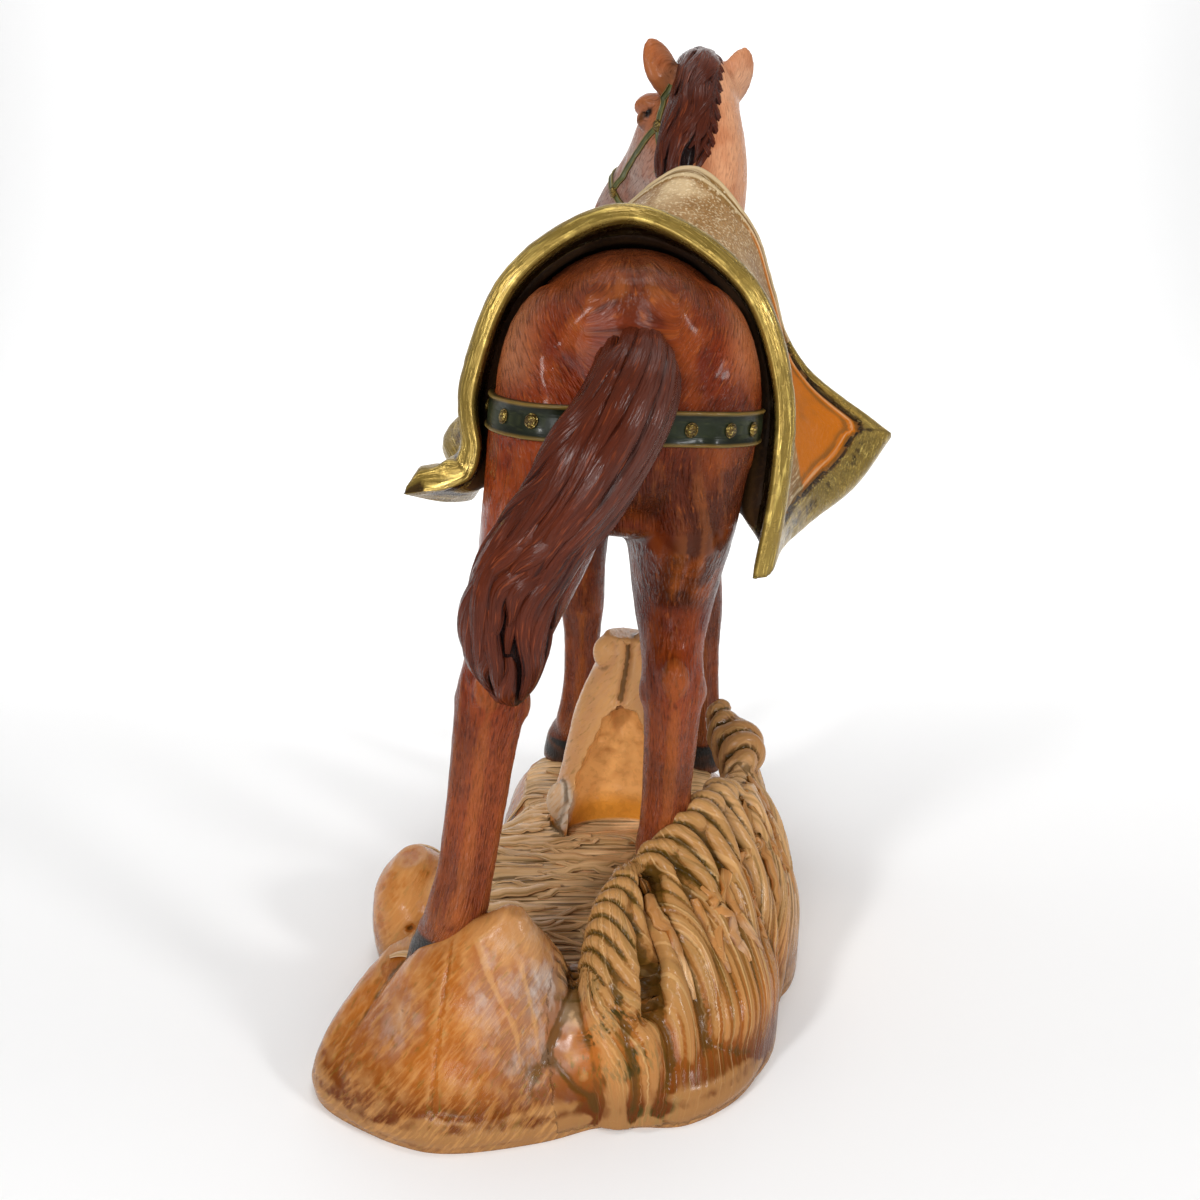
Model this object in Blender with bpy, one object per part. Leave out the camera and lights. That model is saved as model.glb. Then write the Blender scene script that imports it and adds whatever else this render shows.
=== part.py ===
"""A painted nativity horse figurine: a standing horse with a gold-hemmed blanket on a ground base.

The horse faces -Y, its left side is +X, and the middle of the base's underside is the origin.
Places on the figure are written in parts: one part is a 200th of the horse's height at the
withers, and z counts from the ground that the hooves stand on.
"""

import math

import bmesh
import bpy
import numpy as np
from mathutils import Matrix, Vector
from mathutils.bvhtree import BVHTree

# Driving sizes, in metres.
WITHERS_HEIGHT = 0.200    # ground to withers
GROUND_HEIGHT = 0.029     # underside of the base to the ground that the hooves stand on
CLOTH_THICKNESS = 0.0034  # moulded blanket
HEM_WIDTH = 0.0115        # gold band round the blanket
HEM_RISE = 0.0012         # how far the band stands above the cloth
HEM_ROLL = 0.0022         # how far the band hangs inside the cloth, where the horse leaves room
HEM_STEP = 0.0015         # width of the slope from the band down to the cloth
BLANKET_CLEARANCE = 0.0016  # blanket's inside to the horse
HOOF_SINK = 0.0015        # how deep the hooves sit in the ground
SEAT_CLEARANCE = 0.0013   # round each hoof and pastern, to the ground
HOOF_HEIGHT = 0.0095
EAR_LENGTH = 0.019

PART = WITHERS_HEIGHT / 200

# Detail of the solids: voxel sides in metres, and triangles kept.
HORSE_VOXEL = 0.0019
BASE_VOXEL = 0.0024
HORSE_TRIANGLES = 4400
BASE_TRIANGLES = 2560
SEAT_TRIANGLES = 600
CLOTH_COLUMNS = 31        # across, hem to hem
CLOTH_ROWS = 15           # back to front


def at(x, y, z):
    """A place in the figure, from parts to metres."""
    return Vector((x * PART, y * PART, GROUND_HEIGHT + z * PART))


def material(name, colour, roughness, metallic=0.0):
    """A painted finish."""
    paint = bpy.data.materials.new(name)
    paint.use_nodes = True
    shader = paint.node_tree.nodes["Principled BSDF"]
    shader.inputs["Base Color"].default_value = (*colour, 1.0)
    shader.inputs["Roughness"].default_value = roughness
    shader.inputs["Metallic"].default_value = metallic
    return paint


def smooth_row(rows, steps):
    """Rows of numbers with a smooth curve read between them, steps to a span."""
    rows = np.array(rows, float)
    padded = np.vstack([2 * rows[0] - rows[1], rows, 2 * rows[-1] - rows[-2]])
    found = []
    for i in range(len(rows) - 1):
        before, start, end, after = padded[i : i + 4]
        for step in range(steps):
            t = step / steps
            found.append(
                0.5
                * (
                    2 * start
                    + (end - before) * t
                    + (2 * before - 5 * start + 4 * end - after) * t**2
                    + (3 * start - before - 3 * end + after) * t**3
                )
            )
    found.append(rows[-1])
    return np.array(found)


def loft(bm, stations, side=(1, 0, 0), sides=18, steps=4, lobes=0, lobe_depth=0.0, twist=0.0):
    """A closed tube through stations of x, y, z, half width and half depth, all in parts.

    The half width lies along side. Lobes flute the tube lengthwise, as locks of hair do.
    """
    rings = smooth_row(stations, steps)
    centres = rings[:, :3]
    tangents = np.gradient(centres, axis=0)
    turn = np.linspace(0, 2 * math.pi, sides, endpoint=False)
    loops = []
    for i, (centre, tangent) in enumerate(zip(centres, tangents)):
        along = Vector(tangent).normalized()
        wide = Vector(side)
        wide = (wide - wide.dot(along) * along).normalized()
        deep = along.cross(wide)
        half_width = max(rings[i, 3], 0.3)
        half_depth = max(rings[i, 4], 0.3)
        flute = 1 + lobe_depth * np.cos(lobes * turn + twist * i / len(rings))
        loop = []
        for angle, swell in zip(turn, flute):
            place = (
                Vector(centre)
                + wide * (half_width * swell * math.cos(angle))
                + deep * (half_depth * swell * math.sin(angle))
            )
            loop.append(bm.verts.new(at(*place)))
        loops.append(loop)
    for one, other in zip(loops, loops[1:]):
        for k in range(sides):
            n = (k + 1) % sides
            bm.faces.new((one[k], one[n], other[n], other[k]))
    bm.faces.new(loops[0][::-1])
    bm.faces.new(loops[-1])


def lump(bm, centre, radii, turn=0.0, finer=2):
    """An ellipsoid, for a muscle, a brow or a boulder; turn is its heading in degrees."""
    place = (
        Matrix.Translation(at(*centre))
        @ Matrix.Rotation(math.radians(turn), 4, "Z")
        @ Matrix.Diagonal((*[r * PART for r in radii], 1.0))
    )
    bmesh.ops.create_icosphere(bm, subdivisions=finer, radius=1.0, matrix=place)


def mesh_object(name, bm):
    bmesh.ops.recalc_face_normals(bm, faces=bm.faces)
    mesh = bpy.data.meshes.new(name)
    bm.to_mesh(mesh)
    bm.free()
    made = bpy.data.objects.new(name, mesh)
    bpy.context.scene.collection.objects.link(made)
    return made


def applied(made):
    """The object with its modifiers worked into its mesh."""
    bpy.context.view_layer.update()
    graph = bpy.context.evaluated_depsgraph_get()
    mesh = bpy.data.meshes.new_from_object(made.evaluated_get(graph))
    made.modifiers.clear()
    made.data = mesh
    return made


def fused(name, bm, voxel, rounding, triangles):
    """Overlapping closed shapes made one skin, its joins rounded, with about so many triangles."""
    made = mesh_object(name, bm)
    skin = made.modifiers.new("one skin", "REMESH")
    skin.mode = "VOXEL"
    skin.voxel_size = voxel
    soften = made.modifiers.new("rounded joins", "SMOOTH")
    soften.factor = 0.5
    soften.iterations = rounding
    applied(made)
    thin = made.modifiers.new("fewer faces", "DECIMATE")
    thin.use_collapse_triangulate = True
    thin.ratio = min(1.0, triangles / (2 * len(made.data.polygons)))
    return applied(made)


# The horse.

LEFT_HIND = [
    (2, 52, 156, 20, 30), (6, 52, 136, 18.5, 31), (11, 51, 116, 16, 25), (16, 57, 99, 12, 16.5),
    (20, 67, 89, 9.6, 12.5), (21.5, 73.5, 81, 10, 12), (23.5, 77, 70, 9.2, 9.8), (26, 81, 52, 8.4, 8.4),
    (29, 86, 34, 8, 8), (31.5, 88.5, 24, 8.4, 8.8), (35.5, 86, 16, 7, 7.4),
]
RIGHT_HIND = [
    (-31.5, 48, 156, 19, 30), (-32, 43, 136, 17.5, 30), (-31, 38, 116, 15, 25), (-30, 38, 98, 12, 16.5),
    (-29.5, 44, 85, 9.4, 12.5), (-29.5, 49, 76, 9.4, 12), (-29.3, 50, 65, 8.4, 9.6),
    (-28.5, 48, 47, 7.8, 8.2), (-27.5, 47, 30, 7.6, 8), (-27, 46, 22, 8.2, 8.8), (-26.8, 42, 14, 7, 7.4),
]
LEFT_FORE = [
    (-8, -68, 150, 15, 25), (-6.5, -71, 128, 13.5, 20), (-3.5, -74, 108, 10.5, 14), (-2, -75, 88, 8.6, 11),
    (-1, -76.5, 66, 8.6, 10), (-0.8, -75, 54, 7.4, 7.9), (-0.2, -74, 38, 7, 7.4), (1, -74, 26, 7.3, 7.8),
    (2, -74.5, 19, 7.9, 8.4), (4.4, -78.5, 12, 6.7, 7),
]
RIGHT_FORE = [
    (-40, -68, 150, 15, 25), (-42.5, -70, 128, 13.5, 20), (-45.5, -71, 108, 10.5, 14), (-47, -71, 88, 8.6, 11),
    (-48, -72, 66, 8.6, 10), (-48.3, -70, 54, 7.4, 7.9), (-48.6, -68.5, 38, 7, 7.4),
    (-49, -68, 26, 7.3, 7.8), (-49.2, -68.5, 19, 7.9, 8.4), (-49.6, -72.5, 12, 6.7, 7),
]
LEGS = [LEFT_HIND, RIGHT_HIND, LEFT_FORE, RIGHT_FORE]

TRUNK = [
    (-17, 81, 160, 7, 10), (-17, 76, 160, 19, 26), (-16.5, 66, 161, 29, 35), (-16, 52, 160, 34.5, 39),
    (-16.5, 34, 159, 35.5, 41), (-17.5, 12, 155, 34, 41), (-19, -12, 152, 34, 41), (-20.5, -36, 151, 33, 43),
    (-22, -58, 152, 31, 45), (-24, -76, 150, 28, 41), (-25, -91, 147, 23, 32), (-26, -100, 146, 14, 20),
    (-26, -104, 146, 5, 8),
]
NECK = [
    (-24, -58, 150, 25, 34), (-27, -68, 171, 26, 34), (-34, -80, 192, 23.5, 28.5), (-41.5, -90, 211, 20.5, 26),
    (-47, -98, 231, 17.5, 23.5), (-48.5, -105, 249, 13.8, 21.5), (-47, -111, 262, 12, 18.5), (-45, -115, 268, 9, 13),
]
# Dock, the sweep to the near hock, and the tip.
TAIL = [
    (-17, 68, 167, 8, 8), (-17, 77, 170.5, 9.5, 9), (-17, 85, 167, 11, 9.5), (-14, 91, 159, 12, 10),
    (-9, 94, 149, 13, 10.5), (-3.5, 95, 139, 13.5, 10.5), (3.5, 95, 129, 13, 10.5), (10.5, 94, 119, 12.2, 10.5),
    (14.2, 93, 108, 12, 10), (15, 91, 97, 10, 8.5), (14.5, 89.5, 88, 5, 5), (14.5, 89, 84, 1.5, 1.5),
]
MANE_CREST = [
    (-41, -74, 221, 5, 4), (-43, -79, 234, 9.5, 7.5), (-45.5, -85, 247, 11.5, 10), (-47.5, -93, 259, 11, 10.5),
    (-48.5, -101, 269, 9.5, 9), (-47, -110, 274, 8, 6.5), (-43.5, -119, 272, 6, 4.5), (-38, -127, 264, 4.5, 2.5),
]

POLL = Vector((-46.5, -110, 267))
NOSE_WAY = Vector((0.5, -0.62, -0.62)).normalized()
BROW_WAY = (Vector((0, 0, 1)) - NOSE_WAY.z * NOSE_WAY).normalized()
CHEEK_WAY = BROW_WAY.cross(NOSE_WAY).normalized()   # towards the horse's left
# Distance from the poll, rise of the middle towards the brow, half width, half depth.
HEAD = [
    (-8, -5, 8, 7), (-1, -7, 13, 13.5), (10, -10.5, 15.5, 18.5), (21, -12.5, 16, 21), (32, -12.5, 14, 20),
    (43, -10.5, 11.6, 16.4), (54, -8, 9.9, 13.4), (64, -7.5, 9.9, 12.4), (72, -8.5, 9.2, 11.4),
    (77.5, -9.5, 6.8, 8), (80.5, -10, 2.5, 3),
]
EARS = [((-34.5, -105, 263), (-25.5, -103, 282)), ((-58.5, -111, 259), (-64.5, -108, 277))]   # root and tip


def on_head(along, rise, across=0.0):
    """A place on the head: along the nose, towards the brow, towards the left cheek."""
    return POLL + NOSE_WAY * along + BROW_WAY * rise + CHEEK_WAY * across


def leg(bm, stations, room=0.0):
    """One leg down to the sole of its hoof, swollen all round by room."""
    loft(bm, [(x, y, z, wide + room, deep + room) for x, y, z, wide, deep in stations], sides=16)
    pastern = Vector(stations[-1][:3])
    toe = Vector((stations[-1][0] - stations[-2][0], -6.5, 0))
    coronet = pastern + toe * 0.45
    foot = pastern + toe * 0.9
    hoof_top = HOOF_HEIGHT / PART
    sole = -HOOF_SINK / PART - room
    ankle = [(*pastern.xy, pastern.z + 2, 6.8, 7.2), (*coronet.xy, hoof_top, 7.9, 8.8)]
    hoof = [(*coronet.xy, hoof_top + room, 8.2, 9.2), (*foot.xy, sole, 9.6, 11.2)]
    for rings in (ankle, hoof):
        loft(bm, [(x, y, z, wide + room, deep + room) for x, y, z, wide, deep in rings], sides=16, steps=2)


def ear(bm, root, tip):
    """One pointed ear, cupped a little forward."""
    root = Vector(root)
    way = (Vector(tip) - root).normalized()
    length = EAR_LENGTH / PART
    shape = [(-0.15, 3.6, 3.2), (0.15, 5.2, 3.6), (0.4, 5.8, 3.2), (0.7, 4.4, 2.6), (0.9, 2.2, 1.8), (1.0, 0.7, 0.7)]
    loft(
        bm,
        [(*(root + way * length * share), wide, deep) for share, wide, deep in shape],
        side=CHEEK_WAY,
        sides=12,
        steps=3,
    )


def horse():
    bm = bmesh.new()
    loft(bm, TRUNK, sides=24)
    loft(bm, NECK, sides=20)
    for stations in LEGS:
        leg(bm, stations)
    for x, y, turn in ((3, 56, 0), (-35, 52, 0)):      # haunches
        lump(bm, (x, y, 158), (17.5, 24, 33), turn)
    for x, y in ((3, -60), (-47, -60)):                # shoulders
        lump(bm, (x, y, 158), (9.5, 20, 31))
    lump(bm, (-30, -98, 152), (19, 9, 16))             # breast
    head = [(*on_head(s, rise), wide, deep) for s, rise, wide, deep in HEAD]
    loft(bm, head, side=CHEEK_WAY, sides=18)
    for root, tip in EARS:
        ear(bm, root, tip)
    for across in (-1, 1):
        lump(bm, on_head(20, -2, across * 13.6), (4.8, 4.8, 4.6))      # eye and brow
        lump(bm, on_head(30, -19, across * 8), (7, 10, 11))           # jaw
        lump(bm, on_head(70, -5, across * 7), (3.6, 3.6, 4))          # nostril
    loft(bm, MANE_CREST, sides=18, lobes=5, lobe_depth=0.06)
    loft(bm, TAIL, sides=24, lobes=6, lobe_depth=0.08, twist=3.0)
    made = fused("horse", bm, HORSE_VOXEL, 4, HORSE_TRIANGLES)
    made.data.materials.clear()
    made.data.materials.append(material("chestnut paint", (0.33, 0.09, 0.03), 0.35))
    return made


# The blanket. Each rail runs back to front on its outside, from the left hem to the right.

RAILS = [
    [(46.5, 60, 138), (38, 30, 129), (36, -4, 126), (48, -36, 138), (36, -68, 147)],      # left hem
    [(29, 59, 142), (29.5, 27, 141), (29.5, -6, 139), (34, -40, 144), (23, -76, 160)],
    [(29, 58, 163), (28.5, 26, 162), (27, -8, 161), (24, -44, 167), (8, -80, 184)],
    [(15.5, 57, 194), (16.5, 26, 191), (14, -8, 189), (6, -44, 197), (-15, -76, 213)],
    [(-15, 55, 210), (-17, 26, 206), (-19, -8, 203), (-27, -40, 211), (-40.5, -68, 232.5)],   # along the spine
    [(-48, 57, 194), (-51.5, 26, 191), (-53, -8, 190), (-57, -40, 199), (-62.5, -67, 213)],
    [(-62.5, 58, 166), (-63, 26, 166), (-64.5, -7, 167), (-66.5, -38, 174), (-71, -62, 190)],
    [(-63, 59, 139), (-66, 28, 139), (-71, 0, 141), (-76, -28, 148), (-80, -54, 164)],
    [(-55, 60, 110), (-62, 30, 111), (-75, 5, 114), (-97, -22, 124), (-113, -42, 139)],   # right hem
]


def hemmed(length, count):
    """Distances along a line of this length: both edges, both hems and their slopes, evenly between."""
    near = [0, HEM_WIDTH, HEM_WIDTH + HEM_STEP]
    between = np.linspace(near[-1], length - near[-1], count - 4)[1:-1]
    return np.array([*near, *between, *[length - d for d in near[::-1]]])


def spread(line, count):
    """The line's places at the hemmed distances along it."""
    line = np.array(line)
    lengths = np.r_[0, np.cumsum(np.linalg.norm(np.diff(line, axis=0), axis=1))]
    picks = hemmed(lengths[-1], count)
    return np.stack([np.interp(picks, lengths, line[:, axis]) for axis in range(3)], axis=1)


def rail_grid():
    """The blanket's outside in metres: rows back to front, columns from the left hem to the right."""
    rails = [smooth_row([at(*place) for place in rail], 12) for rail in RAILS]
    lengthwise = np.array([spread(rail, CLOTH_ROWS) for rail in rails])
    return np.array([spread(smooth_row(lengthwise[:, row], 12), CLOTH_COLUMNS) for row in range(CLOTH_ROWS)])


def clear_of(tree, place, way, distance):
    """The place moved along way until it is this far outside the tree's skin."""
    for _ in range(4):
        found, normal, _, reach = tree.ray_cast(place, way, 60 * PART)
        if found is None or normal.dot(way) < 0:
            break
        place = found + way * distance
    for _ in range(4):
        found, normal, _, gap = tree.find_nearest(place)
        if gap >= distance:
            break
        place = place + (way + normal).normalized() * (distance - gap)
    return place


def rolled(tree, place, way):
    """The place moved along way by the hem's roll, or as much of it as stays clear of the skin."""
    for share in (1.0, 0.75, 0.5, 0.25):
        deeper = place + way * HEM_ROLL * share
        if tree.find_nearest(deeper)[3] >= BLANKET_CLEARANCE and tree.ray_cast(place, way, HEM_ROLL)[0] is None:
            return deeper
    return place


def eased(grid, pull):
    """The grid of places with each inner one pulled towards the middle of its neighbours."""
    middle = (grid[:-2, 1:-1] + grid[2:, 1:-1] + grid[1:-1, :-2] + grid[1:-1, 2:]) / 4
    grid = grid.copy()
    grid[1:-1, 1:-1] += (middle - grid[1:-1, 1:-1]) * pull
    return grid


def outward(grid):
    """The cloth's outward direction at each place of the grid."""
    lengthwise = np.gradient(grid, axis=0)
    crosswise = np.gradient(grid, axis=1)
    way = np.cross(crosswise, lengthwise)
    return way / np.linalg.norm(way, axis=2, keepdims=True)


def blanket(figure):
    under = rail_grid()
    tree = BVHTree.FromPolygons(
        [v.co.copy() for v in figure.data.vertices], [p.vertices[:] for p in figure.data.polygons]
    )
    thickness = np.full(under.shape[:2], CLOTH_THICKNESS + HEM_RISE)
    thickness[2:-2, 2:-2] = CLOTH_THICKNESS
    under -= outward(under) * CLOTH_THICKNESS
    for ease in (0.5, 0.4, 0.3, 0.0):
        ways = outward(under)
        for r, c in np.ndindex(under.shape[:2]):
            under[r, c] = clear_of(tree, Vector(under[r, c]), Vector(ways[r, c]), BLANKET_CLEARANCE)
        under = eased(under, ease)
    ways = outward(under)
    over = under + ways * thickness[..., None]
    for r, c in np.argwhere(thickness > CLOTH_THICKNESS):
        under[r, c] = rolled(tree, Vector(under[r, c]), Vector(-ways[r, c]))
    bm = bmesh.new()
    last_row, last_column = CLOTH_ROWS - 1, CLOTH_COLUMNS - 1
    inside = [[bm.verts.new(place) for place in row] for row in under]
    outside = [[bm.verts.new(place) for place in row] for row in over]
    for r in range(last_row):
        for c in range(last_column):
            a, b = outside[r][c], outside[r][c + 1]
            d, e = outside[r + 1][c], outside[r + 1][c + 1]
            bm.faces.new((a, b, e, d))
            a, b = inside[r][c], inside[r][c + 1]
            d, e = inside[r + 1][c], inside[r + 1][c + 1]
            bm.faces.new((a, d, e, b))
    for c in range(last_column):
        bm.faces.new((outside[0][c], inside[0][c], inside[0][c + 1], outside[0][c + 1]))
        bm.faces.new((outside[-1][c], outside[-1][c + 1], inside[-1][c + 1], inside[-1][c]))
    for r in range(last_row):
        bm.faces.new((outside[r][0], outside[r + 1][0], inside[r + 1][0], inside[r][0]))
        bm.faces.new((outside[r][-1], inside[r][-1], inside[r + 1][-1], outside[r + 1][-1]))
    made = mesh_object("blanket", bm)
    made.data.materials.append(material("cream and gold paint", (0.62, 0.40, 0.14), 0.4, 0.1))
    return made


# The base.

FOOTPRINT = [
    (73, 83), (73, 95), (65, 106), (45, 118), (30, 121), (8, 117), (-8, 111), (-19, 111), (-32, 110), (-47, 99),
    (-57, 81), (-62, 58), (-67, 38), (-72, 20), (-73, -2), (-70, -30), (-68, -60), (-66, -86), (-54, -106),
    (-30, -116), (-4, -117), (16, -109), (28, -92), (31, -70), (33, -46), (44, -26), (60, -10), (67, 10),
    (63, 30), (51, 46), (58, 62),
]
# Height above the underside and how far the side is drawn in towards the middle, in parts.
SIDE = [(0, 1), (4, 0), (9, 1.5), (14, 5.5), (19, 11), (24, 18), (27.5, 25), (29, 36)]
MIDDLE = (-4, 8)
# Rocks and swells as stacks of ovals: x, y, z above the ground, half width, half length.
ROCKS = [
    [(30, 90, -32, 42, 29), (28, 90, -22, 38.5, 29), (25, 90, -7, 28, 25), (20.5, 93, 8, 21, 18),
     (17, 97, 20, 11.5, 9), (14.6, 98, 29, 3, 3)],                                   # near left, under the hoof
    [(52, 22, -32, 14, 22), (53, 22, -14, 15, 23), (54, 22, -2, 12, 19), (55, 22, 6, 5, 9)],   # far left
    [(-36, 60, -32, 26, 38), (-35, 59, -10, 27, 37), (-34, 60, 6, 19, 25), (-33, 62, 16, 10, 10)],   # near right
    [(-58, 14, -32, 17, 40), (-58, 14, -8, 17, 38), (-57, 10, 10, 10, 32), (-56, 4, 24, 4, 22)],     # far right
]
# The straw swept down the right: its crest, bend and foot, near to far, and the tuft's curl at the crest.
CREST = [(-6, 92, 8), (-9, 85, 20), (-14, 76, 26), (-20, 67, 26), (-27, 60, 30), (-38, 50, 36.5), (-47, 33, 36),
         (-52, 20, 30), (-54, 6, 31), (-51, -10, 38), (-52, -26, 43)]
BEND = [(-6, 100, -4), (-12, 96, 2), (-20, 88, 6), (-28, 79, 8), (-36, 73, 9), (-46, 62, 9), (-56, 45, 9),
        (-62, 32, 9), (-64, 16, 11), (-61, -4, 14), (-59, -26, 20)]
FOOT = [(-8, 106, -29), (-16, 106, -29), (-26, 104, -29), (-35, 98, -29), (-42, 90, -29), (-48, 78, -29),
        (-54, 59, -29), (-60, 42, -29), (-66, 18, -29), (-67, -6, -29), (-64, -32, -29)]
BLADES = 12
BLADE_CURL = 5.0
STUMP_FOOT = (-13, -17)
STUMP_HEIGHT = 71.5
STUMP_WALL = 5.0


def stump(bm):
    """The broken hollow stump between the legs, as a tapered tube with a closed crown."""
    x, y = STUMP_FOOT
    loft(
        bm,
        [(x, y, -10, 25, 19), (x, y, 4, 23, 18), (x - 1, y, 24, 19.5, 15), (x - 2, y - 1, 44, 15, 12),
         (x - 4, y - 1, 60, 10.5, 10), (x - 5, y - 1, STUMP_HEIGHT, 8, 8)],
        sides=16,
        steps=3,
    )


def stump_hollow():
    """The cutter for the hollow, open towards the tail."""
    x, y = STUMP_FOOT
    bm = bmesh.new()
    loft(
        bm,
        [(x - 1, y + 10, 1, 20 - STUMP_WALL * 0.4, 15), (x - 1, y + 9, 16, 17.5 - STUMP_WALL * 0.4, 13.5),
         (x - 2, y + 7.5, 32, 13.5 - STUMP_WALL * 0.4, 11), (x - 2.5, y + 6, 43, 7, 7.5), (x - 2, y + 5.5, 48, 2, 3)],
        sides=14,
        steps=3,
    )
    return hidden_cutter("stump hollow", bm)


def hidden_cutter(name, bm):
    cutter = mesh_object(name, bm)
    cutter.hide_render = True
    cutter.display_type = "WIRE"
    return cutter


def hoof_seat(stations, number):
    """The cutter for the pocket that one hoof and leg stand in."""
    bm = bmesh.new()
    leg(bm, stations[3:], SEAT_CLEARANCE / PART)
    cutter = fused(f"hoof seat {number}", bm, HORSE_VOXEL, 2, SEAT_TRIANGLES)
    cutter.hide_render = True
    cutter.display_type = "WIRE"
    return cutter


def ground(bm):
    """The plate of ground: the footprint stacked up with its sides rounded over."""
    outline = smooth_row([(*p, 0) for p in FOOTPRINT + FOOTPRINT[:1]], 3)[:-1]
    middle = np.array([*MIDDLE, 0])
    loops = []
    for height, inset in [(-6, 1.5)] + SIDE:
        loop = []
        for place in outline:
            way = middle - place
            drawn = place + way * (inset / np.linalg.norm(way))
            loop.append(bm.verts.new(at(drawn[0], drawn[1], height - GROUND_HEIGHT / PART)))
        loops.append(loop)
    count = len(outline)
    for one, other in zip(loops, loops[1:]):
        for k in range(count):
            n = (k + 1) % count
            bm.faces.new((one[k], one[n], other[n], other[k]))
    for loop in (loops[0][::-1], loops[-1]):
        hub = bm.verts.new(sum((v.co for v in loop), Vector()) / count)
        for k in range(count):
            bm.faces.new((loop[k], loop[(k + 1) % count], hub))


def straw(bm):
    """Blades curled over at the crest and swept down to the foot, side by side."""
    spans = 10
    lines = [smooth_row(line, spans) for line in (CREST, BEND, FOOT)]
    lengths = np.r_[0, np.cumsum(np.linalg.norm(np.diff(lines[0], axis=0), axis=1))]
    for blade in range(BLADES):
        reach = lengths[-1] * (blade + 0.5) / BLADES
        crest, bend, foot = [
            np.array([np.interp(reach, lengths, line[:, axis]) for axis in range(3)]) for line in lines
        ]
        inward = crest - bend
        inward[2] = 0
        curl = inward / np.linalg.norm(inward) * BLADE_CURL
        tip = crest + curl + (0, 0, -BLADE_CURL * 0.8)
        wide = lengths[-1] / BLADES * 0.46
        stations = [
            (*tip, 1.2, 1.0), (*(crest + curl * 0.4), wide * 0.75, 2.4), (*(crest - curl * 0.5 + (0, 0, -4)), wide * 0.95, 4),
            (*bend, wide * 1.05, 7), (*((bend + foot) / 2 + (-1.5, 1.5, 0)), wide * 1.3, 8), (*foot, wide * 1.2, 8),
        ]
        neighbour = np.array([np.interp(reach + 1, lengths, lines[0][:, axis]) for axis in range(3)])
        loft(bm, stations, side=neighbour - crest, sides=10, steps=3)


def base():
    bm = bmesh.new()
    ground(bm)
    for rock in ROCKS:
        loft(bm, rock, sides=16, steps=3)
    straw(bm)
    stump(bm)
    made = mesh_object("base", bm)
    skin = made.modifiers.new("one skin", "REMESH")
    skin.mode = "VOXEL"
    skin.voxel_size = BASE_VOXEL
    soften = made.modifiers.new("rounded joins", "SMOOTH")
    soften.iterations = 3
    applied(made)
    thin = made.modifiers.new("fewer faces", "DECIMATE")
    thin.use_collapse_triangulate = True
    thin.ratio = BASE_TRIANGLES / (2 * len(made.data.polygons))
    applied(made)
    bm = bmesh.new()
    bm.from_mesh(made.data)
    whole = bm.verts[:] + bm.edges[:] + bm.faces[:]
    cut = bmesh.ops.bisect_plane(
        bm, geom=whole, plane_co=(0, 0, 0), plane_no=(0, 0, -1), clear_outer=True, dist=1e-7
    )
    rim = [e for e in cut["geom_cut"] if isinstance(e, bmesh.types.BMEdge)]
    bmesh.ops.contextual_create(bm, geom=rim)
    bmesh.ops.recalc_face_normals(bm, faces=bm.faces)
    bm.to_mesh(made.data)
    bm.free()
    cutters = [stump_hollow()] + [hoof_seat(stations, i) for i, stations in enumerate(LEGS)]
    for cutter in cutters:
        cut = made.modifiers.new(cutter.name, "BOOLEAN")
        cut.operation = "DIFFERENCE"
        cut.solver = "EXACT"
        cut.object = cutter
    made.data.materials.clear()
    made.data.materials.append(material("straw and earth paint", (0.50, 0.24, 0.07), 0.4))
    return made


def main():
    for old in list(bpy.data.objects):
        bpy.data.objects.remove(old)
    figure = horse()
    blanket(figure)
    base()
    for made in bpy.data.objects:
        if not made.hide_render:
            made.data.shade_smooth()
            made.data.set_sharp_from_angle(angle=math.radians(40))


main()
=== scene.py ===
# A painted nativity horse figurine: a standing horse with a gold-hemmed blanket on a ground base.
# The horse faces -Y and its left side is +X. Places are in millimetres; z counts from the ground
# that the hooves stand on, which lies groundHeight above the underside of the base.

import math

import bmesh
import bpy
import numpy as np
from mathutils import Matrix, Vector
from mathutils.bvhtree import BVHTree
from mathutils.kdtree import KDTree


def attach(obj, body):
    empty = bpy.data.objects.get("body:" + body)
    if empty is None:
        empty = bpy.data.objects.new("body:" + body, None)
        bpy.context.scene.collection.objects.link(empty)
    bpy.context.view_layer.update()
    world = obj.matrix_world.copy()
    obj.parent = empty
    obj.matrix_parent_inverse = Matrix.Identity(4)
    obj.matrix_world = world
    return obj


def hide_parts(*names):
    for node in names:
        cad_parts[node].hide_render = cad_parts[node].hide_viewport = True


groundHeight = 29.0
mm = 0.001


# Numbers and noise.


def unit(vectors):
    return vectors / np.maximum(np.linalg.norm(vectors, axis=-1, keepdims=True), 1e-9)


def smoothRow(rows, steps):
    # Rows of numbers with a smooth curve read between them, steps to a span.
    rows = np.array(rows, float)
    padded = np.vstack([2 * rows[0] - rows[1], rows, 2 * rows[-1] - rows[-2]])
    found = []
    for i in range(len(rows) - 1):
        before, start, end, after = padded[i : i + 4]
        for t in np.arange(steps) / steps:
            found.append(0.5 * (2 * start + (end - before) * t + (2 * before - 5 * start + 4 * end - after) * t**2
                                + (3 * start - before - 3 * end + after) * t**3))
    return np.array(found + [rows[-1]])


def ramp(values, low, high):
    # 0 below low, 1 above high, eased between; low may be the larger one.
    t = np.clip((values - low) / (high - low), 0, 1)
    return t * t * (3 - 2 * t)


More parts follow.
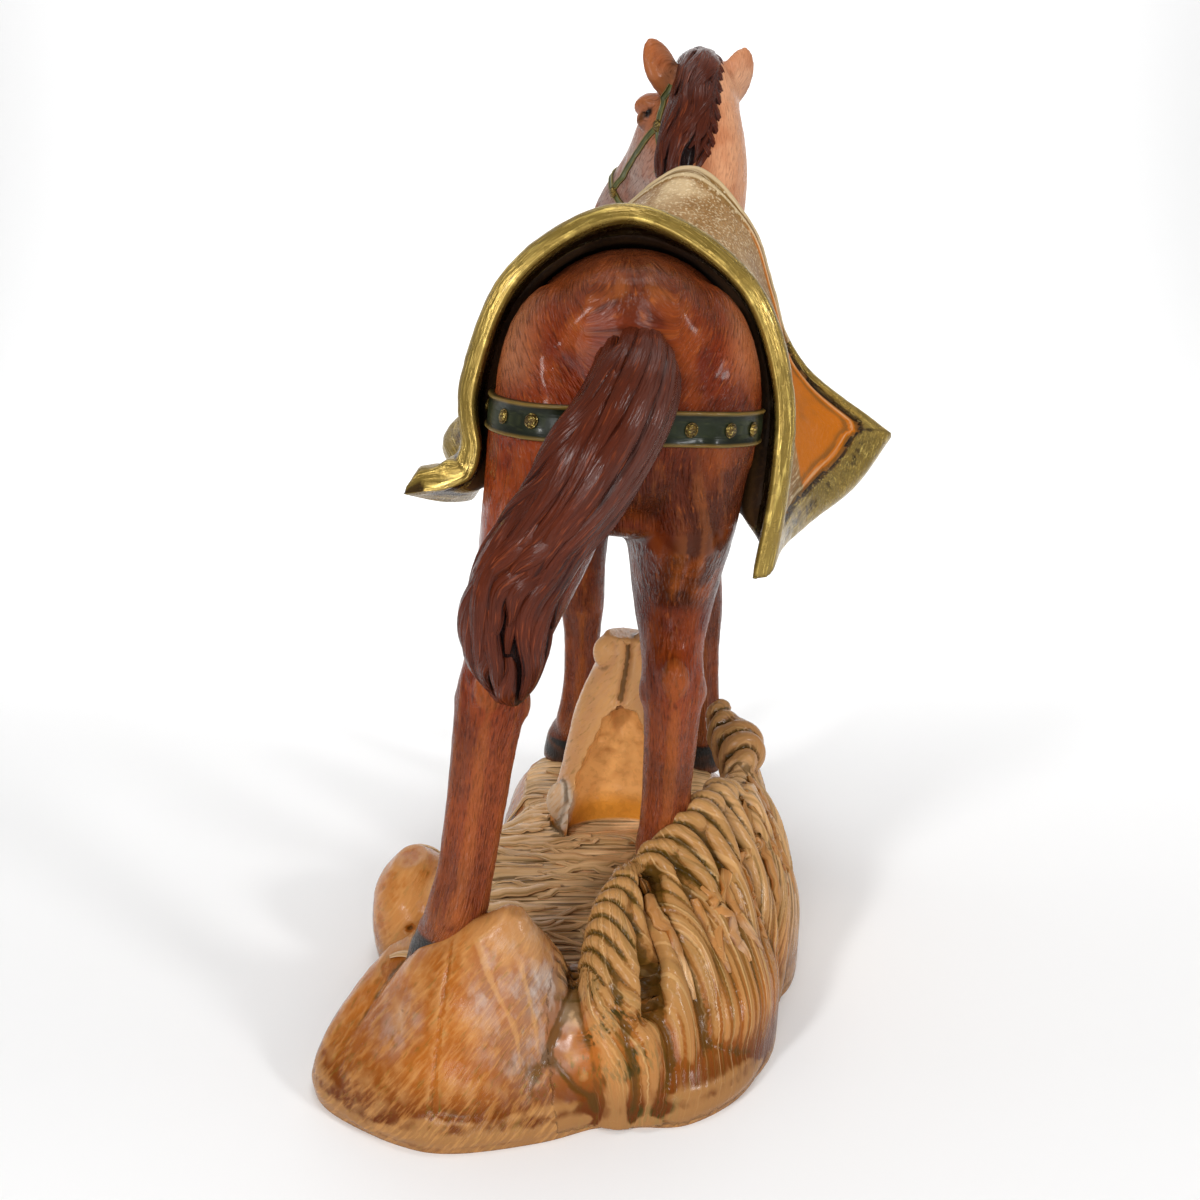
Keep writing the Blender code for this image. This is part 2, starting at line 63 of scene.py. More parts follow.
def noise(points, seed=0):
    # Smooth value noise from -1 to 1, one bump to a unit.
    points = np.asarray(points, float)
    base = np.floor(points).astype(np.int64)
    part = points - base
    part = part * part * (3 - 2 * part)
    total = np.zeros(points.shape[:-1])
    for corner in range(8):
        step = np.array([corner & 1, corner >> 1 & 1, corner >> 2 & 1])
        cell = base + step
        h = cell[..., 0] * 374761393 + cell[..., 1] * 668265263 + cell[..., 2] * 2147483629 + seed * 974634777
        h = (h ^ (h >> 13)) * 1274126177 & 0xFFFFFFFF
        h = ((h ^ (h >> 16)) & 0xFFFF) / 32767.5 - 1
        total += h * np.prod(np.where(step, part, 1 - part), axis=-1)
    return total


def cloudy(points, size, seed=0):
    # Three sizes of noise on top of each other, the largest so many millimetres.
    points = np.asarray(points, float) / size
    return noise(points, seed) * 0.57 + noise(points * 2.1, seed + 1) * 0.29 + noise(points * 4.3, seed + 2) * 0.14


def nearLine(points, line, reach):
    # Each point's distance to a line of places and share along it; far ones stay at reach.
    line = np.asarray(line, float)
    gap = np.full(len(points), float(reach))
    share = np.zeros(len(points))
    near = np.flatnonzero(np.all((points > line.min(0) - reach) & (points < line.max(0) + reach), axis=1))
    for some in np.array_split(near, max(1, len(near) * len(line) // 4_000_000 + 1)):
        if len(some):
            away = np.linalg.norm(points[some, None] - line[None], axis=2)
            pick = away.argmin(1)
            gap[some] = np.minimum(away[np.arange(len(some)), pick], reach)
            share[some] = pick / max(1, len(line) - 1)
    return gap, share


# Meshes.


def ringFaces(rings, sides, closed=False):
    # Faces between rings of so many places each, with one on each end unless they close on themselves.
    faces = []
    for i in range(rings if closed else rings - 1):
        n = (i + 1) % rings
        for k in range(sides):
            m = (k + 1) % sides
            faces.append((i * sides + k, i * sides + m, n * sides + m, n * sides + k))
    if not closed:
        faces += [tuple(range(sides))[::-1], tuple((rings - 1) * sides + k for k in range(sides))]
    return faces


def loftShape(stations, side=(1, 0, 0), sides=24, steps=5, lobes=0, lobeDepth=0.0, twist=0.0):
    # A closed tube through stations of x, y, z, half width along side and half depth.
    rings = smoothRow(stations, steps)
    along = unit(np.gradient(rings[:, :3], axis=0))
    wide = unit(np.array(side, float) - along * (along @ np.array(side, float))[:, None])
    deep = np.cross(along, wide)
    turn = np.linspace(0, 2 * math.pi, sides, endpoint=False)
    phase = twist * np.arange(len(rings)) / len(rings)
    flute = 1 + lobeDepth * np.cos(lobes * turn + phase[:, None])
    size = np.maximum(rings[:, 3:5], 0.3)
    points = (rings[:, None, :3] + wide[:, None] * (size[:, :1] * flute * np.cos(turn))[..., None]
              + deep[:, None] * (size[:, 1:2] * flute * np.sin(turn))[..., None])
    return points.reshape(-1, 3), ringFaces(len(rings), sides)


def lumpShape(centre, radii, turn=0.0):
    # An ellipsoid, its heading in degrees.
    bm = bmesh.new()
    bmesh.ops.create_icosphere(bm, subdivisions=3, radius=1.0)
    points = np.array([v.co for v in bm.verts]) * radii
    faces = [tuple(v.index for v in f.verts) for f in bm.faces]
    bm.free()
    c, s = math.cos(math.radians(turn)), math.sin(math.radians(turn))
    return points @ np.array([[c, s, 0], [-s, c, 0], [0, 0, 1]]) + centre, faces


def meshObject(name, points, faces=(), edges=()):
    mesh = bpy.data.meshes.new(name)
    mesh.from_pydata((np.asarray(points) + (0, 0, groundHeight)) * mm, edges, [tuple(map(int, f)) for f in faces])
    mesh.validate()
    return linked(bpy.data.objects.new(name, mesh))


def linked(made):
    bpy.context.scene.collection.objects.link(made)
    return made


def facingOut(made):
    # Every face turned to face outwards.
    bm = bmesh.new()
    bm.from_mesh(made.data)
    bmesh.ops.recalc_face_normals(bm, faces=bm.faces)
    bm.to_mesh(made.data)
    bm.free()
    return made


def joined(shapes):
    points, faces, start = [], [], 0
    for some, theirs in shapes:
        points.append(some)
        faces += [tuple(i + start for i in face) for face in theirs]
        start += len(some)
    return np.vstack(points), faces


def applied(made):
    # The object with its modifiers worked into its mesh.
    bpy.context.view_layer.update()
    graph = bpy.context.evaluated_depsgraph_get()
    mesh = bpy.data.meshes.new_from_object(made.evaluated_get(graph))
    made.modifiers.clear()
    made.data = mesh
    mesh.name = made.name
    return made


def fused(name, shapes, voxel, rounding):
    # Overlapping closed shapes made one skin, its joins rounded.
    made = meshObject(name, *joined(shapes))
    skin = made.modifiers.new("one skin", "REMESH")
    skin.mode = "VOXEL"
    skin.voxel_size = voxel * mm
    soften = made.modifiers.new("rounded joins", "SMOOTH")
    soften.factor = 0.5
    soften.iterations = rounding
    return applied(made)


def thinned(made, triangles):
    # Faces taken out where the form is flat, down to about so many triangles.
    thin = made.modifiers.new("fewer faces", "DECIMATE")
    thin.use_collapse_triangulate = True
    thin.ratio = min(1.0, triangles / sum(len(p.vertices) - 2 for p in made.data.polygons))
    return applied(made)


def readOut(items, field, width, kind=float):
    found = np.empty(len(items) * width, kind)
    items.foreach_get(field, found)
    return found.reshape(-1, width)


def placesOf(made):
    return readOut(made.data.vertices, "co", 3) / mm - (0, 0, groundHeight)


def setPlaces(made, points):
    made.data.vertices.foreach_set("co", ((points + (0, 0, groundHeight)) * mm).ravel())
    made.data.update()


def normalsOf(made):
    return readOut(made.data.vertex_normals, "vector", 3)


def smoothedOver(made, values, rounds):
    # Values on the vertices, each drawn towards the middle of its neighbours so many times.
    a, b = readOut(made.data.edges, "vertices", 2, np.int64).T
    count = len(made.data.vertices)
    starts, ends = np.r_[a, b], np.r_[b, a]
    share = np.maximum(np.bincount(starts, minlength=count), 1)
    values = np.array(values, float).reshape(count, -1)
    for _ in range(rounds):
        for k in range(values.shape[1]):
            values[:, k] = np.bincount(starts, values[ends, k], count) / share
    return values


def recesses(made, fine=4, broad=26, fineDepth=0.10, broadDepth=0.55):
    # How deep each vertex lies below its surroundings, in two sizes: about 1 in a deep groove, -1 on a sharp ridge.
    points, ways = placesOf(made), normalsOf(made)
    near = smoothedOver(made, points, fine)
    wide = smoothedOver(made, near, broad)
    small = ((near - points) * ways).sum(1) / fineDepth
    large = ((wide - points) * ways).sum(1) / broadDepth
    return np.clip(small, -1, 1) * 0.5 + np.clip(large, -1, 1) * 0.6


def storeValues(made, **named):
    for name, values in named.items():
        values = np.asarray(values, np.float32)
        kind, field = ("FLOAT", "value") if values.ndim == 1 else ("FLOAT_VECTOR", "vector")
        stored = made.data.attributes.new(name, kind, "POINT")
        stored.data.foreach_set(field, values.ravel())


def skinTree(made):
    points = placesOf(made)
    return BVHTree.FromPolygons([Vector(p) for p in points], [tuple(p.vertices) for p in made.data.polygons])


def onSkin(tree, line):
    # The nearest places on the skin to each place of a line.
    return np.array([tree.find_nearest(Vector(p))[0] for p in line])


def carved(points, ways, tree, cuts):
    # Grooves (or ridges, with a negative depth) pressed along lines near the skin: line, half width, depth.
    moved = np.zeros(len(points))
    for line, width, depth in cuts:
        path = smoothRow(line, max(2, int(np.linalg.norm(np.diff(line, axis=0), axis=1).mean() / 0.6)))
        gap, share = nearLine(points, onSkin(tree, path), width * 2.6)
        fade = np.minimum(1, np.minimum(share, 1 - share) * 7 + 0.15)
        moved -= depth * fade * np.exp(-((gap / width) ** 2)) * (gap < width * 2.6)
    return moved


def dressed(made, finishes, node):
    # The last things for a finished piece: its paint, its smooth faces and its place in the frame.
    if finishes:
        made.data.materials.clear()
        for finish in finishes:
            made.data.materials.append(finish)
        made.data.polygons.foreach_set("material_index", np.zeros(len(made.data.polygons), np.int32))
    made.data.shade_smooth()
    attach(made, "root")
    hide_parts(node)
    return made


# Paints.

sheenPatch = 5.0           # mm, how large the duller and glossier places are
varnishRoughness = 0.12


def tone(hexColour):
    # A screen colour such as #ab6e33, made linear for the shader.
    values = [int(hexColour[i : i + 2], 16) / 255 for i in (1, 3, 5)]
    return (*[v / 12.92 if v <= 0.04045 else ((v + 0.055) / 1.055) ** 2.4 for v in values], 1.0)


def addNode(tree, kind, inputs=None, **settings):
    # One node with its settings; each input is either another node's output to link or a value to set.
    node = tree.nodes.new(kind)
    for name, value in settings.items():
        setattr(node, name, value)
    for key, value in (inputs or {}).items():
        if isinstance(value, bpy.types.NodeSocket):
            tree.links.new(value, node.inputs[key])
        else:
            node.inputs[key].default_value = value
    return node


def paintedResin(name, look):
    # Cold cast resin painted by hand: a base coat in two close tones, zones of other colours (some of them painted
    # light and shade), brush strokes, a dark wash in the recesses that is also painted shade, lighter dry brushing
    # on the ridges that is also painted highlight, and varnish over all.
    finish = bpy.data.materials.new(name)
    finish.use_nodes = True
    tree = finish.node_tree
    shader = tree.nodes["Principled BSDF"]
    place = addNode(tree, "ShaderNodeTexCoord").outputs["Object"]
    flow = addNode(tree, "ShaderNodeAttribute", attribute_name="flow").outputs["Vector"]
    zones, overZones = look.get("zones", {}), look.get("overZones", {})
    shares = {}
    for zone in ["recess", *zones, *overZones, *[stroke["zone"] for stroke in look["strokes"] if "zone" in stroke]]:
        shares[zone] = addNode(tree, "ShaderNodeAttribute", attribute_name=zone).outputs["Fac"]
    patches = addNode(tree, "ShaderNodeTexNoise",
                      {"Vector": place, "Scale": 1000 / look["patchSize"], "Detail": 3.0})
    second = addNode(tree, "ShaderNodeMapRange", {0: patches.outputs["Fac"], 1: 0.38, 2: 0.62},
                     interpolation_type="SMOOTHSTEP")
    # Each layer covers the ones before it by its own share.
    layers = [(second.outputs[0], look["second"])] + [(shares[zone], zones[zone]) for zone in zones]
    height = None
    for stroke in look["strokes"]:
        source, perUnit = (place, 1000.0) if stroke.get("along") == "place" else (flow, 1.0)
        width, length = stroke["size"]
        stretch = (perUnit / width, perUnit / length, perUnit / stroke.get("third", width))
        stretched = addNode(tree, "ShaderNodeVectorMath", {0: source, 1: stretch}, operation="MULTIPLY").outputs[0]
        marks = addNode(tree, "ShaderNodeTexNoise",
                        {"Vector": stretched, "Scale": 1.0, "Detail": stroke.get("detail", 2.0),
                                                     "Roughness": 0.55}).outputs["Fac"]
        mask = shares.get(stroke.get("zone"), 1.0)
        low, high = stroke["from"]
        strength = addNode(tree, "ShaderNodeMapRange", {0: marks, 1: low, 2: high, 4: stroke["amount"]}).outputs[0]
        strength = addNode(tree, "ShaderNodeMath", {0: strength, 1: mask}, operation="MULTIPLY").outputs[0]
        layers.append((strength, stroke["tone"]))
        if "bump" in stroke:
            centred = {0: marks, 1: stroke["bump"], 2: -0.5 * stroke["bump"]}
            raised = addNode(tree, "ShaderNodeMath", centred, operation="MULTIPLY_ADD").outputs[0]
            raised = addNode(tree, "ShaderNodeMath", {0: raised, 1: mask}, operation="MULTIPLY").outputs[0]
            height = raised if height is None else addNode(tree, "ShaderNodeMath",
                                                           {0: height, 1: raised}).outputs[0]
    layers += [(shares[zone], overZones[zone]) for zone in overZones]
    # The wash darkens the recesses as painted shade, and the dry brushing lightens the ridges as painted highlight.
    for coat in ("wash", "ridge"):
        low, high, amount = look[coat + "From"]
        share = addNode(tree, "ShaderNodeMapRange", {0: shares["recess"], 1: low, 2: high, 4: amount},
                        interpolation_type="SMOOTHSTEP")
        layers.append((share.outputs[0], look[coat]))
    colour = tone(look["base"])
    for share, hexColour in layers:
        colour = addNode(tree, "ShaderNodeMix", {0: share, 6: colour, 7: tone(hexColour)},
                         data_type="RGBA").outputs[2]
    tree.links.new(colour, shader.inputs["Base Color"])
    uneven = addNode(tree, "ShaderNodeTexNoise", {"Vector": place, "Scale": 1000 / sheenPatch, "Detail": 4.0})
    low, high = look["roughness"]
    rough = addNode(tree, "ShaderNodeMapRange", {0: uneven.outputs["Fac"], 1: 0.3, 2: 0.7, 3: low, 4: high})
    tree.links.new(rough.outputs[0], shader.inputs["Roughness"])
    bump = addNode(tree, "ShaderNodeBump", {"Height": height, "Distance": look["bumpDepth"] * mm, "Strength": 1.0})
    tree.links.new(bump.outputs[0], shader.inputs["Normal"])
    shader.inputs["Metallic"].default_value = look.get("metallic", 0.0)
    shader.inputs["Coat Weight"].default_value = look.get("varnish", 0.0)
    shader.inputs["Coat Roughness"].default_value = varnishRoughness
    shader.inputs["Specular IOR Level"].default_value = look.get("specular", 0.5)
    return finish


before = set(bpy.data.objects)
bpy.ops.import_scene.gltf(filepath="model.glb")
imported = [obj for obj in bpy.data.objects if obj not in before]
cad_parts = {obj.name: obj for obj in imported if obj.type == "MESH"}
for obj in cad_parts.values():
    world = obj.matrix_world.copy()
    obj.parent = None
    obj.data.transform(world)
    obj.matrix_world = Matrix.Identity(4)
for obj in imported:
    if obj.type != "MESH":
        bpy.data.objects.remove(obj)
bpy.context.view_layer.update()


# The horse's skin.

horseLook = {
    "voxel": 1.18,           # mm, how fine the skin is
    "rounding": 6,
    "furDepth": 0.10,        # mm, combed strokes in the skin itself
    "furWidth": 1.5,
    "hoofHeight": 9.5,
    "hoofSink": 1.5,
    "earLength": 19.0,
    "paint": {
        "base": "#7a2b08", "second": "#5e1d06", "patchSize": 30.0,
        # The paler and darker zones and the frost also carry painted light and painted shade.
        "zones": {"pale": "#dd9c6e", "dark": "#47200f", "inner": "#c98a5c", "frost": "#b8a398"},
        "overZones": {"hoof": "#2c2b2a", "eye": "#0c0605"},
        "strokes": [
            {"size": (0.62, 3.6), "third": 1.0, "from": (0.50, 0.68), "amount": 0.65, "tone": "#340f03",
             "bump": 1.6, "zone": "combed"},
            {"size": (0.7, 4.2), "third": 1.0, "from": (0.57, 0.72), "amount": 0.45, "tone": "#ac5a22",
             "bump": 0.4, "detail": 3.0, "zone": "combed"},
            {"size": (14.0, 14.0), "from": (0.50, 0.70), "amount": 0.42, "tone": "#a04c1a", "along": "place"},
        ],
        "wash": "#33100a", "washFrom": (0.50, 1.1, 0.50),
        "ridge": "#a8602c", "ridgeFrom": (-0.45, -1.0, 0.30),
        "roughness": (0.18, 0.32), "varnish": 0.06, "specular": 0.11, "bumpDepth": 0.6,
    },
}

leftHind = [
    (2, 52, 156, 20, 30), (6, 52, 136, 18.5, 31), (11, 51, 116, 16, 25), (16, 57, 99, 12, 16.5),
    (20, 67, 89, 9.6, 12.5), (21.5, 73.5, 81, 10, 12), (23.5, 77, 70, 9.2, 9.8), (26, 81, 52, 8.4, 8.4),
    (29, 86, 34, 8, 8), (31.5, 88.5, 24, 8.4, 8.8), (35.5, 86, 16, 7, 7.4),
]
rightHind = [
    (-31.5, 48, 156, 19, 30), (-32, 43, 136, 17.5, 30), (-31, 38, 116, 15, 25), (-30, 38, 98, 12, 16.5),
    (-29.5, 44, 85, 9.4, 12.5), (-29.5, 49, 76, 9.4, 12), (-29.3, 50, 65, 8.4, 9.6),
    (-28.5, 48, 47, 7.8, 8.2), (-27.5, 47, 30, 7.6, 8), (-27, 46, 22, 8.2, 8.8), (-26.8, 42, 14, 7, 7.4),
]
leftFore = [
    (-8, -68, 150, 15, 25), (-6.5, -71, 128, 13.5, 20), (-3.5, -74, 108, 10.5, 14), (-2, -75, 88, 8.6, 11),
    (-1, -76.5, 66, 8.6, 10), (-0.8, -75, 54, 7.4, 7.9), (-0.2, -74, 38, 7, 7.4), (1, -74, 26, 7.3, 7.8),
    (2, -74.5, 19, 7.9, 8.4), (4.4, -78.5, 12, 6.7, 7),
]
rightFore = [
    (-40, -68, 150, 15, 25), (-42.5, -70, 128, 13.5, 20), (-45.5, -71, 108, 10.5, 14), (-47, -71, 88, 8.6, 11),
    (-48, -72, 66, 8.6, 10), (-48.3, -70, 54, 7.4, 7.9), (-48.6, -68.5, 38, 7, 7.4),
    (-49, -68, 26, 7.3, 7.8), (-49.2, -68.5, 19, 7.9, 8.4), (-49.6, -72.5, 12, 6.7, 7),
]
legs = [leftHind, rightHind, leftFore, rightFore]
trunk = [
    (-17, 81, 160, 7, 10), (-17, 76, 160, 19, 26), (-16.5, 66, 161, 29, 35), (-16, 52, 160, 34.5, 39),
    (-16.5, 34, 159, 36.5, 41), (-17.8, 12, 155, 38, 41), (-19, -12, 152, 39, 41), (-20.5, -36, 151, 37, 43),
    (-22, -58, 152, 32, 45), (-24, -76, 150, 28, 41), (-25, -91, 147, 23, 32), (-26, -100, 146, 14, 20),
    (-26, -104, 146, 5, 8),
]
neck = [
    (-24, -58, 150, 25, 34), (-27, -68, 171, 26, 34), (-34, -80, 192, 23.5, 28.5), (-41.5, -90, 211, 20.5, 26),
    (-47, -98, 231, 17.5, 23.5), (-48.5, -105, 249, 13.8, 21.5), (-47, -111, 262, 12, 18.5),
    (-45, -115, 268, 9, 13),
]
tail = [
    (-17, 68, 167, 8, 8), (-17, 77, 170.5, 9.5, 9), (-16.5, 85, 167, 10.2, 9.5), (-13.2, 91, 159, 10.6, 10),
    (-7.4, 94, 149, 10.8, 10.5), (-1.0, 95, 139, 10.4, 10), (5.8, 95, 130, 9.6, 9.5), (12.0, 94, 120, 10.4, 10),
    (14.8, 93, 109, 10.6, 10), (15.0, 91, 98, 9.2, 8.5), (14.5, 89.5, 88, 5, 5), (14.5, 89, 84, 1.5, 1.5),
]
maneCrest = [
    (-36, -74, 221, 6, 4), (-38, -79, 234, 9.5, 7.5), (-41, -85, 246, 9.6, 10), (-43.8, -93, 257.5, 8.6, 10.5),
    (-45.8, -101, 266.5, 7.6, 9), (-45.5, -110, 271, 7.2, 6.5), (-43, -119, 270, 6, 4.5),
    (-38, -127, 263, 4.5, 2.5),
]
poll = np.array([-46.5, -110, 267])
noseWay = unit(np.array([0.5, -0.62, -0.62]))
browWay = unit(np.array([0, 0, 1]) - noseWay[2] * noseWay)
cheekWay = unit(np.cross(browWay, noseWay))   # towards the horse's left
headStations = [
    (-8, -5, 8, 7), (-1, -7, 13, 13.5), (10, -10, 16.2, 19), (21, -12, 17, 21.4), (32, -12, 15.2, 20.4),
    (43, -10.3, 12.4, 16.8), (54, -8, 10.4, 13.6), (64, -7.5, 9.9, 12.4), (72, -8.5, 9.2, 11.4),
    (77.5, -9.5, 6.8, 8), (80.5, -10, 2.5, 3),
]
ears = [((-34.5, -105, 263), (-25.5, -103, 282)), ((-57.5, -111, 260), (-64.5, -107, 279))]   # root and tip


def onHead(along, rise, across=0.0):
    # A place on the head: along the nose, towards the brow, towards the left cheek.
    return poll + noseWay * along + browWay * rise + cheekWay * across


def legShapes(stations):
    x, y, z, wide, deep = stations[0]
    inside = [(x * 0.8 - 4, y * 0.86, z + 30, wide * 0.35, deep * 0.35),
              (x * 0.9 - 2, y * 0.93, z + 17, wide * 0.75, deep * 0.75)]
    shapes = [loftShape(inside + stations, sides=28, steps=6)]
    pastern = np.array(stations[-1][:3], float)
    toe = np.array([stations[-1][0] - stations[-2][0], -6.5, 0])
    coronet, foot = pastern + toe * 0.45, pastern + toe * 0.9
    top = horseLook["hoofHeight"]
    ankle = [(*pastern[:2], pastern[2] + 2, 6.8, 7.2), (*coronet[:2], top, 7.9, 8.8)]
    hoof = [(*coronet[:2], top, 8.4, 9.4), (*foot[:2], -horseLook["hoofSink"], 9.6, 11.2)]
    return shapes + [loftShape(rings, sides=28, steps=2) for rings in (ankle, hoof)]


def earShape(root, tip):
    root = np.array(root, float)
    way = unit(np.array(tip) - root)
    shape = [(-0.15, 4.2, 3.2), (0.15, 7.2, 3.7), (0.4, 8.4, 3.4), (0.7, 7.2, 2.8),
             (0.9, 4.6, 2.0), (1.02, 1.5, 0.9)]
    rings = [(*(root + way * horseLook["earLength"] * share), wide, deep) for share, wide, deep in shape]
    return loftShape(rings, side=cheekWay, sides=20, steps=5)


def horseShapes():
    shapes = [loftShape(trunk, sides=40, steps=6), loftShape(neck, sides=32, steps=6)]
    for stations in legs:
        shapes += legShapes(stations)
    for x, y in ((3, 56), (-35, 52)):
        shapes.append(lumpShape((x, y, 158), (17.5, 24, 33)))
    for x, y in ((3, -60), (-47, -60)):
        shapes.append(lumpShape((x, y, 158), (9.5, 20, 31)))
    for x, y in ((-18, -95), (-36, -94)):
        shapes.append(lumpShape((x, y, 147), (11, 9.5, 22)))
    shapes.append(loftShape([(*onHead(s, rise), w, d) for s, rise, w, d in headStations],
                            side=cheekWay, sides=32, steps=6))
    shapes += [earShape(root, tip) for root, tip in ears]
    for across in (-1, 1):
        shapes.append(lumpShape(onHead(20, -2.4, across * 14.4), (4.4, 4.4, 4.2)))
        shapes.append(lumpShape(onHead(17, 2.4, across * 11.8), (6.4, 6.4, 4.4)))
        shapes.append(lumpShape(onHead(30, -19, across * 8), (7, 10, 11)))
        shapes.append(lumpShape(onHead(70, -5, across * 7), (3.6, 3.6, 4)))
    # Tendons behind the shanks, points of hock and knee.
    for stations, hock in ((leftHind, 5), (rightHind, 5)):
        x, y, z, wide, deep = stations[hock]
        shapes.append(lumpShape((x, y + deep * 0.78, z + 4), (4.4, 5.0, 7.0)))
        shapes.append(lumpShape((x - wide * 0.72, y, z - 2), (3.6, 6.0, 6.0)))
        shapes.append(lumpShape((x + wide * 0.72, y, z - 2), (3.6, 6.0, 6.0)))
        tendon = [(x, y + deep * 0.86, z, 2.7, 2.6) for x, y, z, wide, deep in stations[hock:-1]]
        shapes.append(loftShape(tendon, sides=16, steps=5))
    for stations in (leftFore, rightFore):
        x, y, z, wide, deep = stations[4]
        shapes.append(lumpShape((x, y - deep * 0.55, z), (6.2, 4.5, 7)))
        tendon = [(x, y + deep * 0.84, z, 2.5, 2.4) for x, y, z, wide, deep in stations[4:-1]]
        shapes.append(loftShape(tendon, sides=16, steps=5))
    return shapes


# Lines pressed into the head, along the nose, towards the brow and towards the cheek, with half width and depth.
noseCuts = [
    ([(77, -14, 0), (72, -15, 6.5), (64, -15.5, 8.5), (58, -14.5, 9)], 0.9, 0.9),         # mouth
    ([(77, -14, 0), (72, -15, -6.5), (64, -15.5, -8.5), (58, -14.5, -9)], 0.9, 0.9),
    ([(28, 5, 0), (45, 4, 0), (60, 3, 0)], 3.0, 0.4),
]
sideCuts = [
    ([(73, -6, 9), (70.5, -3.4, 9.6), (68, -3.6, 9.4)], 1.3, 1.6),                        # nostril
    ([(15, -3, 17), (18, 0.4, 17.4), (22.5, 1.0, 17), (26, -2.5, 15.6)], 0.8, 0.7),       # eyelids
    ([(15, -3, 17), (19, -5.6, 17.6), (23.5, -5.2, 17), (26, -2.5, 15.6)], 0.8, 0.7),
    ([(13, -1, 16), (18, 3.2, 16.4), (24, 3.2, 15.6)], 1.3, -0.8),                        # brow
    ([(26, -24, 12), (36, -20, 12.5), (42, -12, 12), (50, -4, 10)], 1.5, 0.8),            # cheek bone
    ([(36, -5, 14), (48, -6, 11), (58, -5, 10)], 1.7, -0.6),
]


def legLines(stations, across, back):
    # A line down the leg at a share of its half width across and of its half depth towards the back.
    return [(x + wide * across, y + deep * back, z) for x, y, z, wide, deep in stations]


def horseCuts():
    cuts = [
        ([(-16, 50, 200), (-16, 64, 196), (-17, 74, 186), (-17, 79, 176)], 2.4, 0.6),         # rump's midline
        ([(-33, 76, 156), (-35, 76, 149), (-37.6, 72, 135), (-41, 58, 116)], 1.9, 0.8),       # right thigh, outer
        ([(-25, 82, 150), (-29, 78, 140), (-33, 70, 126), (-32.6, 62, 112), (-31, 52, 97)], 1.8, 0.9),
        ([(-48, 62, 160), (-51, 56, 144), (-49, 48, 124)], 4.0, 0.25),
        ([(13, 77, 152), (17, 73, 138), (20, 66, 120), (19, 62, 106)], 2.0, 1.0),             # left thigh
        ([(24, 58, 160), (27, 54, 142), (26, 50, 122)], 4.0, 0.25),
        ([(-8, 82, 146), (-10, 72, 132), (-10, 62, 122)], 2.4, 1.0),                          # between the thighs
    ]
    cuts += [([onHead(*place) for place in line], width, depth) for line, width, depth in noseCuts]
    for side in (-1, 1):
        for line, width, depth in sideCuts:
            cuts.append(([onHead(along, rise, side * across) for along, rise, across in line], width, depth))
    for root, tip in ears:
        root, tip = np.array(root, float), np.array(tip, float)
        front = noseWay * 3.0
        cuts.append(([root + (tip - root) * 0.18 + front, root + (tip - root) * 0.5 + front,
                      root + (tip - root) * 0.85 + front], 2.3, 2.4))
    for stations in legs:
        lower = stations[4:-1]
        for across in (-0.62, 0.62):
            cuts.append((legLines(lower, across, 0.72), 1.3, 0.6))
            cuts.append((legLines(lower, across * 1.3, -0.1), 1.5, 0.3))
    return cuts


def aroundAxis(points, stations, radius):
    # Arc length round an upright limb from its back, and the distance from its middle line.
    rows = np.array(sorted(stations, key=lambda row: row[2]), float)
    x, y = np.interp(points[:, 2], rows[:, 2], rows[:, 0]), np.interp(points[:, 2], rows[:, 2], rows[:, 1])
    dx, dy = points[:, 0] - x, points[:, 1] - y
    return np.arctan2(dx, dy) * radius, np.hypot(dx, dy)


def coatFlow(points):
    # Coordinates for the coat's strokes: across them, along them, and a number for the limb.
    # They run down and outwards on the rump, down the legs and the neck, and along the head.
    z = points[:, 2]
    turn, _ = aroundAxis(points, [(-16, 30, 0), (-16, 30, 300)], 38)
    fan = ramp(z, 120, 165) * ramp(points[:, 1], 20, 60)
    flow = np.stack([turn - np.sign(turn) * 0.5 * (z - 160) * fan * np.clip(np.abs(turn) / 9, 0, 1),
                     z, 0 * turn], 1)
    nearest = np.full(len(points), 1e9)
    for number, stations in enumerate(legs):
        arc, away = aroundAxis(points, stations, 10)
        mine = (z < 122) & (away < nearest)
        nearest = np.where(mine, away, nearest)
        flow = np.where(mine[:, None], np.stack([arc, z, 0 * arc + number * 4 + 4], 1), flow)
    arc, _ = aroundAxis(points, neck, 22)
    onNeck = (z > 185) & (points[:, 1] < -50)
    flow = np.where(onNeck[:, None], np.stack([arc, z, 0 * arc + 25], 1), flow)
    head = points - poll
    along, rise, across = head @ noseWay, head @ browWay, head @ cheekWay
    onNose = (along > 5) & (rise > -45) & (z > 200)
    arc = np.arctan2(across, rise + 12) * 14
    return np.where(onNose[:, None], np.stack([arc, along, 0 * arc + 31], 1), flow)


